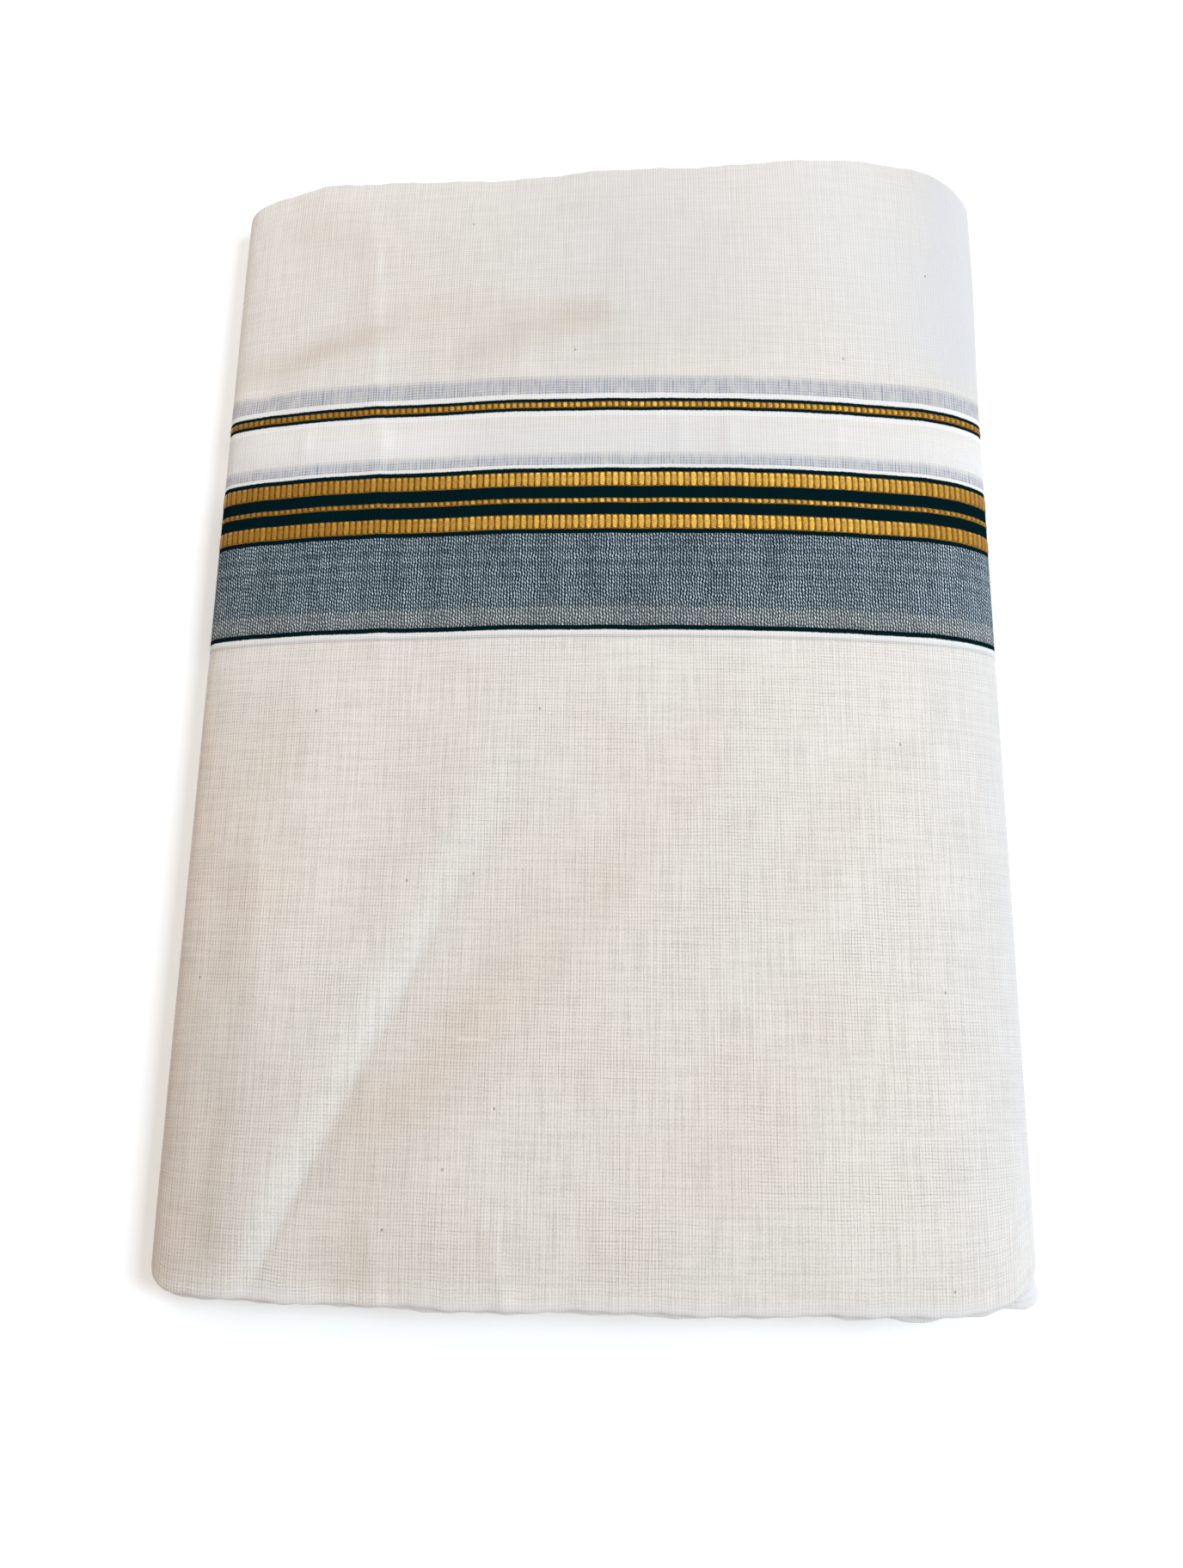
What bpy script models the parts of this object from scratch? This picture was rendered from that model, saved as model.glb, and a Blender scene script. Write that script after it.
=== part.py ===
"""A cotton dhoti wound flat round itself and pressed, lying on its back face.

The cloth is one long length, folded in four across its width and wound into a flat
roll. Its outer turn shows as two plies. The border ply carries the woven borders and
ends in its selvage halfway down the front. The body ply is the plain stretch below
it, and runs a little way under it. Each is a tube of cloth that goes all round the
roll and turns in at its folded edge. The second turn shows where its edge stands out
past the outer turn. The turns inside share one rounded solid with layered ends.

X runs across the bundle, Y along it towards its top edge and Z up. Lengths are in
millimetres until a mesh is made.
"""

import math
from collections import namedtuple

import bmesh
import bpy

MM = 0.001

# Sizes of the whole bundle
BUNDLE_LENGTH = 334.0
BUNDLE_WIDTH = 226.0
SIDE_LINE_HEIGHT = 6.2
UNDER_EDGE_RADIUS = 6.5
SHOULDER_HOLDS = 6

# Sizes of the cloth walls and their folded edges
WALL = 1.0
GAP = 0.3
FOLD_RADIUS = 1.2
TURNED_IN = 9.0
EDGE_PEEK = 1.0

# The lap of the border ply over the body ply
SELVAGE_Y = 9.5
UNDERLAP = 12.0
LAP_RAMP = 5.0
LAP_STEPS = 4
LAP_CLEARANCE = 1.0

# The second turn's edges and the layered ends of the inner turns
SECOND_GAP = 0.5
EDGE_REACH = 15.0
CORNER_FLARE = 2.2
FLARE_STARTS = 2.5
NECK_SHARE = 0.35
NECK_PLACE = 0.25
END_RAMP = 5.0
LEDGES = 3
LEDGE_DEPTH = 0.9
CORE_RECESS = 1.6
CORE_NARROWS = 5.0
CORE_CLOSES_AT = 0.80
FOLD_RISES_OVER = 0.3
FOLD_FADES_OVER = 0.2
ROUGHNESS = 0.85
SHARP_ANGLE = math.radians(50)

# How finely the sections are cut
TOP_STEPS = 36
SIDE_STEPS = 4
UNDER_STEPS = 8
ARC_STEPS = 6
STATION_STEP = 12.5

HALF_WIDTH = BUNDLE_WIDTH / 2
TOP_END = BUNDLE_LENGTH / 2
BOTTOM_END = EDGE_PEEK - BUNDLE_LENGTH / 2
SECOND_DEPTH = 2 * FOLD_RADIUS + SECOND_GAP
CORE_END_DEPTH = SECOND_DEPTH + WALL + GAP
END_ZONE = 45.0

COTTON_WHITE = (0.76, 0.74, 0.70)
COTTON_WARM = (0.70, 0.66, 0.60)
COTTON_INNER = (0.78, 0.77, 0.76)

FrontPoint = namedtuple("FrontPoint", "across height")
LengthPoint = namedtuple("LengthPoint", "y crown side")
EdgePoint = namedtuple("EdgePoint", "across inset")
PeekPoint = namedtuple("PeekPoint", "across peek")
Fold = namedtuple("Fold", "x0 y0 x1 y1 width height")
LedgePoint = namedtuple("LedgePoint", "share recess")

# The front's height above the table from the left side line to the right one
FRONT_PROFILE = (
    FrontPoint(across=-1.00, height=6.2),
    FrontPoint(across=-0.98, height=11.0),
    FrontPoint(across=-0.93, height=13.4),
    FrontPoint(across=-0.85, height=15.6),
    FrontPoint(across=-0.68, height=18.9),
    FrontPoint(across=-0.45, height=21.4),
    FrontPoint(across=-0.20, height=24.0),
    FrontPoint(across=0.10, height=25.0),
    FrontPoint(across=0.30, height=24.9),
    FrontPoint(across=0.50, height=23.8),
    FrontPoint(across=0.68, height=21.6),
    FrontPoint(across=0.80, height=19.6),
    FrontPoint(across=0.88, height=17.3),
    FrontPoint(across=0.94, height=14.4),
    FrontPoint(across=0.98, height=11.2),
    FrontPoint(across=1.00, height=6.2),
)

# How the crown and the side lines sink towards the ends, as shares of their heights
LENGTH_PROFILE = (
    LengthPoint(y=-167.0, crown=0.70, side=0.92),
    LengthPoint(y=-160.0, crown=0.80, side=0.95),
    LengthPoint(y=-145.0, crown=0.91, side=0.98),
    LengthPoint(y=-95.0, crown=0.98, side=1.00),
    LengthPoint(y=0.0, crown=1.00, side=1.00),
    LengthPoint(y=100.0, crown=1.00, side=1.00),
    LengthPoint(y=140.0, crown=0.94, side=0.98),
    LengthPoint(y=156.0, crown=0.84, side=0.95),
    LengthPoint(y=167.0, crown=0.72, side=0.92),
)

# How far the outer turn's edges stop short of the bundle's ends
TOP_EDGE = (
    EdgePoint(across=-1.00, inset=15.0),
    EdgePoint(across=-0.96, inset=10.5),
    EdgePoint(across=-0.88, inset=7.6),
    EdgePoint(across=-0.75, inset=4.8),
    EdgePoint(across=-0.60, inset=6.2),
    EdgePoint(across=-0.30, inset=7.4),
    EdgePoint(across=0.00, inset=5.0),
    EdgePoint(across=0.30, inset=3.7),
    EdgePoint(across=0.50, inset=1.2),
    EdgePoint(across=0.66, inset=0.0),
    EdgePoint(across=0.82, inset=1.3),
    EdgePoint(across=0.92, inset=3.4),
    EdgePoint(across=0.97, inset=9.0),
    EdgePoint(across=1.00, inset=14.0),
)
BOTTOM_EDGE = (
    EdgePoint(across=-1.00, inset=9.0),
    EdgePoint(across=-0.98, inset=4.5),
    EdgePoint(across=-0.94, inset=2.0),
    EdgePoint(across=-0.75, inset=1.6),
    EdgePoint(across=-0.60, inset=0.6),
    EdgePoint(across=-0.20, inset=0.2),
    EdgePoint(across=0.10, inset=0.0),
    EdgePoint(across=0.60, inset=0.4),
    EdgePoint(across=0.80, inset=1.0),
    EdgePoint(across=0.90, inset=2.6),
    EdgePoint(across=0.96, inset=6.5),
    EdgePoint(across=1.00, inset=13.0),
)

# How far the second turn's edges stand out past the outer turn's
TOP_PEEK = (
    PeekPoint(across=-1.00, peek=-1.2),
    PeekPoint(across=0.88, peek=-1.2),
    PeekPoint(across=0.94, peek=0.6),
    PeekPoint(across=0.98, peek=3.8),
    PeekPoint(across=1.00, peek=4.5),
)
BOTTOM_PEEK = (
    PeekPoint(across=-1.00, peek=0.5),
    PeekPoint(across=-0.60, peek=0.9),
    PeekPoint(across=0.10, peek=1.0),
    PeekPoint(across=0.70, peek=0.8),
    PeekPoint(across=0.86, peek=1.4),
    PeekPoint(across=0.95, peek=3.4),
    PeekPoint(across=1.00, peek=5.5),
)

# The largest soft folds of the front, each from one end of its ridge to the other
FRONT_FOLDS = (
    Fold(x0=-30.0, y0=-38.0, x1=-98.0, y1=-172.0, width=10.0, height=1.1),
    Fold(x0=-20.0, y0=-34.0, x1=-90.5, y1=-172.0, width=8.0, height=-0.9),
    Fold(x0=44.0, y0=-8.0, x1=-22.0, y1=-92.0, width=9.0, height=-0.6),
    Fold(x0=-73.0, y0=185.0, x1=-58.0, y1=-20.0, width=7.0, height=0.5),
    Fold(x0=-97.0, y0=-96.0, x1=-101.0, y1=-164.0, width=7.0, height=-0.5),
)

# One rounded ledge of the layered ends, from its rim inwards, as shares of its depth
LEDGE_PROFILE = (
    LedgePoint(share=0.00, recess=0.45),
    LedgePoint(share=0.25, recess=0.00),
    LedgePoint(share=0.75, recess=0.00),
    LedgePoint(share=1.00, recess=1.00),
)


def smooth_step(value):
    """Rise from 0 to 1 with level ends as the value goes from 0 to 1."""
    value = min(1.0, max(0.0, value))
    return value * value * (3 - 2 * value)


def arc_place(across):
    """Turn a place across the bundle into its share of the section's arc."""
    return math.asin(max(-1.0, min(1.0, across))) * 2 / math.pi


def read_table(places, values, place):
    """Read a table at a place, on a smooth curve that never overshoots its rows."""
    if place <= places[0]:
        return values[0]
    if place >= places[-1]:
        return values[-1]
    row = max(index for index, start in enumerate(places) if start <= place)
    slopes = [
        (values[index + 1] - values[index]) / (places[index + 1] - places[index])
        for index in range(len(places) - 1)
    ]

    def tangent(index):
        """Mean slope at a row, level where the curve turns."""
        if index == 0:
            return slopes[0]
        if index == len(slopes):
            return slopes[-1]
        before, after = slopes[index - 1], slopes[index]
        if before * after <= 0:
            return 0.0
        return 2 * before * after / (before + after)

    span = places[row + 1] - places[row]
    share = (place - places[row]) / span
    rise = smooth_step(share)
    start_bend = share * (1 - share) ** 2 * span * tangent(row)
    end_bend = share ** 2 * (1 - share) * span * tangent(row + 1)
    return values[row] * (1 - rise) + values[row + 1] * rise + start_bend - end_bend


def across_table(rows, column, across):
    """Read a column of a table whose rows lie across the bundle."""
    places = [arc_place(row.across) for row in rows]
    values = [getattr(row, column) for row in rows]
    return read_table(places, values, arc_place(across))


def length_table(column, y):
    """Read a column of the table that runs along the bundle."""
    places = [row.y for row in LENGTH_PROFILE]
    values = [getattr(row, column) for row in LENGTH_PROFILE]
    return read_table(places, values, y)


def fold_relief(x, y):
    """Height that the soft folds add to the front at a point."""
    relief = 0.0
    for fold in FRONT_FOLDS:
        run_x = fold.x1 - fold.x0
        run_y = fold.y1 - fold.y0
        length = math.hypot(run_x, run_y)
        along = ((x - fold.x0) * run_x + (y - fold.y0) * run_y) / length
        aside = ((x - fold.x0) * run_y - (y - fold.y0) * run_x) / length
        rise = smooth_step(along / (FOLD_RISES_OVER * length))
        fade = smooth_step((length - along) / (FOLD_FADES_OVER * length))
        relief += fold.height * rise * fade * math.exp(-(aside / fold.width) ** 2)
    edge_fade = 1 - (x / HALF_WIDTH) ** 4
    return relief * max(0.0, edge_fade)


def front_height(across, y):
    """Height of the outer turn's front above the table."""
    side = SIDE_LINE_HEIGHT * length_table("side", y)
    dome = across_table(FRONT_PROFILE, "height", across) - SIDE_LINE_HEIGHT
    sinking = (1 - length_table("crown", y)) * (1 - abs(across) ** SHOULDER_HOLDS)
    return side + dome * (1 - sinking) + fold_relief(across * HALF_WIDTH, y)


def section(y):
    """Points (x, z) of the roll's outer section, from the left side line over the front."""
    side = SIDE_LINE_HEIGHT * length_table("side", y)
    flat_half = HALF_WIDTH - UNDER_EDGE_RADIUS
    points = []
    for step in range(TOP_STEPS):
        across = math.sin(math.pi * (step / TOP_STEPS - 0.5))
        points.append((across * HALF_WIDTH, front_height(across, y)))
    for step in range(SIDE_STEPS):
        turn = 0.5 * math.pi * step / SIDE_STEPS
        points.append((flat_half + UNDER_EDGE_RADIUS * math.cos(turn), side * (1 - math.sin(turn))))
    for step in range(UNDER_STEPS):
        points.append((flat_half * (1 - 2 * step / UNDER_STEPS), 0.0))
    for step in range(SIDE_STEPS):
        turn = 0.5 * math.pi * (1 - step / SIDE_STEPS)
        points.append((-flat_half - UNDER_EDGE_RADIUS * math.cos(turn), side * (1 - math.sin(turn))))
    return points


def outward_normals(points):
    """Unit normals of a closed section whose points run clockwise."""
    normals = []
    for index, (x, z) in enumerate(points):
        before_x, before_z = points[index - 1]
        after_x, after_z = points[(index + 1) % len(points)]
        back = math.hypot(x - before_x, z - before_z)
        ahead = math.hypot(after_x - x, after_z - z)
        run_x = (x - before_x) / back + (after_x - x) / ahead
        run_z = (z - before_z) / back + (after_z - z) / ahead
        length = math.hypot(run_x, run_z)
        normals.append((-run_z / length, run_x / length))
    return normals


def edge_shift(across, y):
    """How far a point is drawn in along Y by the outline of the nearer end."""
    if y > 0:
        inset = across_table(TOP_EDGE, "inset", across)
        return -inset * smooth_step((y - TOP_END + END_ZONE) / END_ZONE)
    inset = across_table(BOTTOM_EDGE, "inset", across)
    return inset * smooth_step((BOTTOM_END + END_ZONE - y) / END_ZONE)


def ring(y, depth, stand_out=0.0, flare=0.0):
    """One ring of points round the roll, a depth inside its outer face.

    stand_out moves the ring along Y, and flare lifts it outwards; each is a number or
    a function of the place across the bundle.
    """
    points = section(y)
    ring_points = []
    for (x, z), (normal_x, normal_z) in zip(points, outward_normals(points)):
        across = x / HALF_WIDTH
        lift = flare(across) if callable(flare) else flare
        shift = stand_out(across) if callable(stand_out) else stand_out
        inward = depth - lift
        ring_points.append((
            x - normal_x * inward,
            y + edge_shift(across, y) + shift,
            z - normal_z * inward,
        ))
    return ring_points


def shared_stations(start, end):
    """Stations along Y that every ply shares between two places, with both ends."""
    first = math.ceil((start + 1) / STATION_STEP)
    last = math.floor((end - 1) / STATION_STEP)
    return [start] + [step * STATION_STEP for step in range(first, last + 1)] + [end]


def arc(centre_y, centre_depth, radius, start, end, steps):
    """Points (y, depth) of an arc; an angle of 0 points to +Y and 90 to the outer face."""
    points = []
    for step in range(steps + 1):
        angle = math.radians(start + (end - start) * step / steps)
        points.append((centre_y + radius * math.cos(angle), centre_depth - radius * math.sin(angle)))
    return points


def lap_depth(y):
    """Depth of the body ply's face, which sinks to pass under the border ply."""
    share = (y - (SELVAGE_Y - GAP - LAP_RAMP)) / LAP_RAMP
    return (WALL + GAP) * smooth_step(share)


def loft(name, rings, colour, capped=False):
    """Join rings of points into one closed body, and give it a cotton material."""
    mesh_maker = bmesh.new()
    ring_verts = []
    for points in rings:
        ring_verts.append([mesh_maker.verts.new([value * MM for value in point]) for point in points])
    pairs = list(zip(ring_verts, ring_verts[1:]))
    if not capped:
        pairs.append((ring_verts[-1], ring_verts[0]))
    for near, far in pairs:
        for index in range(len(near)):
            follow = (index + 1) % len(near)
            mesh_maker.faces.new((near[index], near[follow], far[follow], far[index]))
    if capped:
        mesh_maker.faces.new(ring_verts[0])
        mesh_maker.faces.new(ring_verts[-1])
    bmesh.ops.triangulate(mesh_maker, faces=[face for face in mesh_maker.faces if len(face.verts) > 4])
    bmesh.ops.recalc_face_normals(mesh_maker, faces=mesh_maker.faces)
    mesh = bpy.data.meshes.new(name)
    mesh_maker.to_mesh(mesh)
    mesh_maker.free()
    mesh.shade_smooth()
    mesh.set_sharp_from_angle(angle=SHARP_ANGLE)
    mesh.materials.append(cotton_material(name, colour))
    piece = bpy.data.objects.new(name, mesh)
    bpy.data.collections["dhoti"].objects.link(piece)
    return piece


def cotton_material(name, colour):
    """Plain woven cotton in one colour."""
    material = bpy.data.materials.new(name + "_cotton")
    material.use_nodes = True
    shader = material.node_tree.nodes["Principled BSDF"]
    shader.inputs["Base Color"].default_value = (*colour, 1.0)
    shader.inputs["Roughness"].default_value = ROUGHNESS
    shader.inputs["Metallic"].default_value = 0.0
    material.diffuse_color = (*colour, 1.0)
    return material


def border_ply():
    """The outer ply with the woven borders, from its selvage to the turned-in top edge."""
    turn_y = TOP_END - FOLD_RADIUS
    stations = shared_stations(SELVAGE_Y, turn_y)
    path = [(y, 0.0) for y in stations[:-1]]
    path += arc(turn_y, FOLD_RADIUS, FOLD_RADIUS, 90, -90, ARC_STEPS)
    path += [(TOP_END - TURNED_IN, 2 * FOLD_RADIUS), (TOP_END - TURNED_IN, 2 * FOLD_RADIUS - WALL)]
    path += arc(turn_y, FOLD_RADIUS, FOLD_RADIUS - WALL, -90, 90, 2)
    path += [(y, WALL) for y in reversed(stations[:-1])]
    return loft("border_ply", [ring(y, depth) for y, depth in path], COTTON_WHITE)


def body_ply():
    """The plain ply below the borders, from its turned-in bottom edge to its underlap."""
    turn_y = BOTTOM_END + FOLD_RADIUS
    lap_start = SELVAGE_Y - GAP - LAP_RAMP
    lap_end = SELVAGE_Y - GAP
    ramp = [lap_start + LAP_RAMP * step / LAP_STEPS for step in range(LAP_STEPS)]
    stations = shared_stations(turn_y, lap_start)[:-1] + ramp + [lap_end, SELVAGE_Y + UNDERLAP]
    path = [(y, lap_depth(y)) for y in reversed(stations[1:])]
    path += arc(turn_y, FOLD_RADIUS, FOLD_RADIUS, 90, 270, ARC_STEPS)
    path += [(BOTTOM_END + TURNED_IN, 2 * FOLD_RADIUS), (BOTTOM_END + TURNED_IN, 2 * FOLD_RADIUS - WALL)]
    path += arc(turn_y, FOLD_RADIUS, FOLD_RADIUS - WALL, 270, 90, 2)
    path += [(y, lap_depth(y) + WALL) for y in stations[1:]]
    return loft("body_ply", [ring(y, depth) for y, depth in path], COTTON_WARM)


def second_turn_edge(name, end, inward, peek_rows):
    """The second turn's edge inside an end of the outer turn, standing out at a corner.

    end is the place of the outer turn's edge, and inward is +1 or -1 along Y.
    """
    tip_radius = WALL / 2
    tip_y = end + inward * tip_radius

    def edge_ring(y, depth, share, open_share):
        """A ring that takes a share of the peek, and of the corner's opening."""
        def stand_out(across):
            """Move the ring out past the outer turn's edge."""
            return -inward * share * across_table(peek_rows, "peek", across)

        def flare(across):
            """Open the corner that stands clear of the outer turn."""
            clear = across_table(peek_rows, "peek", across) - FLARE_STARTS
            return open_share * CORNER_FLARE * smooth_step(clear / FLARE_STARTS)

        return ring(y, depth, stand_out, flare)

    walls = (
        (end + inward * EDGE_REACH, 0.0),
        (end + inward * EDGE_REACH * NECK_PLACE, 0.0),
        (tip_y + inward * WALL, NECK_SHARE),
    )
    rings = [edge_ring(y, SECOND_DEPTH, share, 0.0) for y, share in walls]
    tip = arc(tip_y, SECOND_DEPTH + tip_radius, tip_radius, 90, 90 + 180 * inward, 3)
    rings += [edge_ring(y, depth, 1.0, 1.0) for y, depth in tip]
    rings += [edge_ring(y, SECOND_DEPTH + WALL, share, 0.0) for y, share in reversed(walls)]
    return loft(name, rings, COTTON_INNER)


def core_end_ring(end, inward, closing, y_offset):
    """A ring of the inner turns' layered end, drawn towards the roll's middle plane."""
    y = end + inward * CORE_RECESS
    outer = ring(y, CORE_END_DEPTH, inward * y_offset)
    narrow = 1 - closing * CORE_NARROWS / HALF_WIDTH
    points = []
    for x, point_y, z in outer:
        middle = 0.5 * front_height(max(-1.0, min(1.0, x / HALF_WIDTH)), y)
        points.append((x * narrow, point_y, middle + (z - middle) * (1 - closing)))
    return points


def inner_turns():
    """The turns inside as one solid, with the edges of its layers rounded at both ends."""
    def layered_end(end, inward):
        """Rings from the rim of an end to its middle, a rounded ledge at a time."""
        rings = []
        for ledge in range(LEDGES):
            for point in LEDGE_PROFILE:
                closing = CORE_CLOSES_AT * (ledge + point.share) / LEDGES
                rings.append(core_end_ring(end, inward, closing, point.recess * LEDGE_DEPTH))
        return rings

    step_down = WALL + GAP
    bottom_zone = BOTTOM_END + EDGE_REACH + GAP
    top_zone = TOP_END - EDGE_REACH - GAP
    lap_start = SELVAGE_Y - GAP - LAP_RAMP
    lap_end = SELVAGE_Y + UNDERLAP + LAP_CLEARANCE
    lower = shared_stations(bottom_zone + END_RAMP, lap_start)
    upper = shared_stations(lap_end + LAP_RAMP, top_zone - END_RAMP)
    path = [(bottom_zone, CORE_END_DEPTH)]
    path += [(y, step_down) for y in lower]
    path += [(y, lap_depth(y) + step_down) for y in (lap_start + LAP_RAMP / 2, SELVAGE_Y - GAP, lap_end)]
    path += [(y, step_down) for y in upper]
    path += [(top_zone, CORE_END_DEPTH)]
    rings = list(reversed(layered_end(BOTTOM_END, 1)))
    rings += [ring(y, depth) for y, depth in path]
    rings += layered_end(TOP_END, -1)
    return loft("inner_turns", rings, COTTON_INNER, capped=True)


def clear_scene():
    """Remove every object that the scene holds."""
    for item in list(bpy.data.objects):
        bpy.data.objects.remove(item, do_unlink=True)


def main():
    """Build the bundle, ply by ply from the outside in."""
    clear_scene()
    collection = bpy.data.collections.new("dhoti")
    bpy.context.scene.collection.children.link(collection)
    border_ply()
    body_ply()
    second_turn_edge("second_turn_top_edge", TOP_END, -1, TOP_PEEK)
    second_turn_edge("second_turn_bottom_edge", BOTTOM_END, 1, BOTTOM_PEEK)
    inner_turns()


main()
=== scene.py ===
"""A folded cotton dhoti with woven borders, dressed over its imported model.

The bundle is wound flat from one length of cloth. Its outer turn shows as two thin
plies, one with the borders and one plain, with the next turn's edges under them and
the folded layers of the inner turns at both ends. X runs across the bundle, Y along
it towards its top edge and Z up. Tables are in millimetres, and meshes in metres.
"""

import math
from collections import namedtuple

import bmesh
import bpy
import numpy as np
from mathutils import Matrix, Vector, noise


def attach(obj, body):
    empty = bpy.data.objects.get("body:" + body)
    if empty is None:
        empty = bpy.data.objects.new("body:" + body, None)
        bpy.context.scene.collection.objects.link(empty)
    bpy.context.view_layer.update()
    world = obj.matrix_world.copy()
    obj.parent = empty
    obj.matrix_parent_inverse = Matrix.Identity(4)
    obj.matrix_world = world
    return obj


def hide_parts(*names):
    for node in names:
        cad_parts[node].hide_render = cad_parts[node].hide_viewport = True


bl_info = {
    "name": "Folded dhoti",
    "version": (1, 0, 0),
    "blender": (4, 5, 0),
    "location": "3D View > Sidebar > Dhoti",
    "description": "Makes a cotton dhoti that is wound flat, with its woven borders and creases",
    "category": "Add Mesh",
}

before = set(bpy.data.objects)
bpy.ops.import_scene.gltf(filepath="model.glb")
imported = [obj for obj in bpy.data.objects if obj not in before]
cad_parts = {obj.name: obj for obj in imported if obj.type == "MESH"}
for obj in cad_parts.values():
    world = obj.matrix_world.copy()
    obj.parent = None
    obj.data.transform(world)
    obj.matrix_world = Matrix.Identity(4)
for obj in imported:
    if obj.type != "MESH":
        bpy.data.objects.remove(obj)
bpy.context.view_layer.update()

MM = 0.001
BUNDLE_WIDTH = 226.0
BUNDLE_LENGTH = 332.5
HALF_WIDTH = BUNDLE_WIDTH / 2

# Sizes that follow the solids
SIDE_LINE_HEIGHT = 6.2
UNDER_EDGE_RADIUS = 6.5
SHOULDER_HOLDS = 6
EDGE_PEEK = 1.0
SELVAGE_Y = 7.2
UNDERLAP = 12.0
TOP_END = BUNDLE_LENGTH / 2
BOTTOM_END = EDGE_PEEK - BUNDLE_LENGTH / 2
END_ZONE = 45.0
TURNED_IN = 9.0
TOP_SPREAD = 0.9
SECOND_DEPTH = 2.4
SECOND_HEIGHT = 1.0
CORE_END_DEPTH = 3.6
CORE_NARROWS = 5.0
CORE_CLOSES_AT = 0.80
EDGE_REACH = 15.0

# How finely the cloth and the hidden turns are cut
FRONT_COLUMNS = 200
SIDE_COLUMNS = 8
UNDER_COLUMNS = 44
ROW_STEP = 1.6
FOLD_ROWS = 8
CORE_ROW_STEP = 12.0
CORE_END_RINGS = 8

# Where creases, waves, the tints and painted light and shade, and the spread corner start,
# and over how far they grow, in millimetres, or as shares of a crease's length or of the
# bundle's half width
CREASE_STARTS = 0.3
CREASE_ENDS = 0.2
FRONT_FROM = 0.9 * SIDE_LINE_HEIGHT
FRONT_HOLDS = 40
BACK_BELOW = 0.5
BACK_GROWS = 6.0
LOWEST_CLOTH = 0.02
SPREAD_FROM = 0.85
SPREAD_Y = 80.0
SPREAD_Y_GROWS = 55.0
TINT_FROM = 1.0
TINT_GROWS = 8.0
BACK_TINT = 0.5
RIPPLE_REACH = 14.0
STEP_GROWS = 7.0
RUFFLES_FROM = 0.35
RUFFLES_GROW = 0.3
LOOSE_SHARE = 0.3
OPENS_FROM = 1.5
OPENS_OVER = 1.8

# Where the noise of the waves starts, for the outer turn and for the turns inside
OUTER_SEED = 1.3
INNER_SEED = 2.1

# How deep the hidden turns lie under the outer ply, how much deeper under its lap, and how
# their ends are drawn in
CORE_DEPTH = 1.3
LAP_DEPTH = 1.3
CORE_INSET = 1.0
CORE_RECESS = 0.6
CORE_HOLLOW = 1.3
LAP_STARTS = 14.0
LAP_ENDS = 8.0
LAP_GROWS = 6.0

# How much of the outer turn's creases the second turn and the hidden turns share
SECOND_CREASES = 0.5
CORE_CREASES = 0.3

# The inner plies' folds, and how unevenly they stand in and wave
PLY_FOLD_RADIUS = 0.27
PLY_FOLD_STARTS = 0.4
PLY_FOLD_UNEVEN = 0.45
PLY_FOLD_TURN = 2.4
PLY_FOLD_WANDER = 0.5
PLY_FOLD_WAVES = 55.0

# The gold ribs' form and how much they vary
RIB_SEGMENTS = 8
RIB_RINGS = 5
RIB_SQUARENESS = 0.35
RIB_UNEVENNESS = 0.05
RIB_SEED = 11
TONE_SEED = 7

# The woven patterns: pitches and widths in millimetres, the rest as shares
STRIPE_SOFTNESS = 0.16
GHOST_PITCH = 0.78
CORD_PITCH = 0.61
DASH_COLUMN = 0.76
DASH_ROW = 1.1
DASH_SLANT = 0.22
DASH_HALF_WIDTH = 0.29
DASH_HALF_LENGTH = 0.52
PALE_FROM = 17.6
PALE_FULL = 14.6
# How strongly the painted shade darkens the cotton and the painted light lightens it
SHADE_STRENGTH = 0.3
SPECK_STRENGTH = 0.6
SLUB_STRENGTH = 0.6
SPECK_COLOUR = (0.10, 0.08, 0.06, 1.0)
LINE_CHANGE = 0.73

# How the gold is painted in shade away from its lit middle, in millimetres from the bundle's middle
LIT_MIDDLE = 20.0
LEFT_GROWS = 110.0
LEFT_PAINTED_SHADE = 0.66
RIGHT_FROM = 38.0
RIGHT_GROWS = 50.0
RIGHT_PAINTED_SHADE = 0.62

FrontPoint = namedtuple("FrontPoint", "across height")
LengthPoint = namedtuple("LengthPoint", "y crown side")
EdgePoint = namedtuple("EdgePoint", "across inset")
PeekPoint = namedtuple("PeekPoint", "across peek")
Crease = namedtuple("Crease", "x0 y0 x1 y1 left right height")
Stripe = namedtuple("Stripe", "weave low high")
Mark = namedtuple("Mark", "x y")
Slub = namedtuple("Slub", "x y length")
Wave = namedtuple("Wave", "height across along up turn")
Ripple = namedtuple("Ripple", "height per_mm turn")
SecondEdge = namedtuple("SecondEdge", "piece node end inward peeks opening")
RibStyle = namedtuple("RibStyle", "width reach loose tone")
Lamp = namedtuple("Lamp", "name place size power colour")
ThreadMark = namedtuple("ThreadMark", "outer inner least own open")
DashLight = namedtuple("DashLight", "least own worn rows right")

FRONT_PROFILE = (
    FrontPoint(across=-1.00, height=6.2),
    FrontPoint(across=-0.98, height=11.0),
    FrontPoint(across=-0.93, height=13.4),
    FrontPoint(across=-0.85, height=15.6),
    FrontPoint(across=-0.68, height=18.9),
    FrontPoint(across=-0.45, height=21.4),
    FrontPoint(across=-0.20, height=24.0),
    FrontPoint(across=0.10, height=25.0),
    FrontPoint(across=0.30, height=24.9),
    FrontPoint(across=0.50, height=23.8),
    FrontPoint(across=0.68, height=21.6),
    FrontPoint(across=0.80, height=19.6),
    FrontPoint(across=0.88, height=17.3),
    FrontPoint(across=0.94, height=14.4),
    FrontPoint(across=0.98, height=11.2),
    FrontPoint(across=1.00, height=6.2),
)

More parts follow.
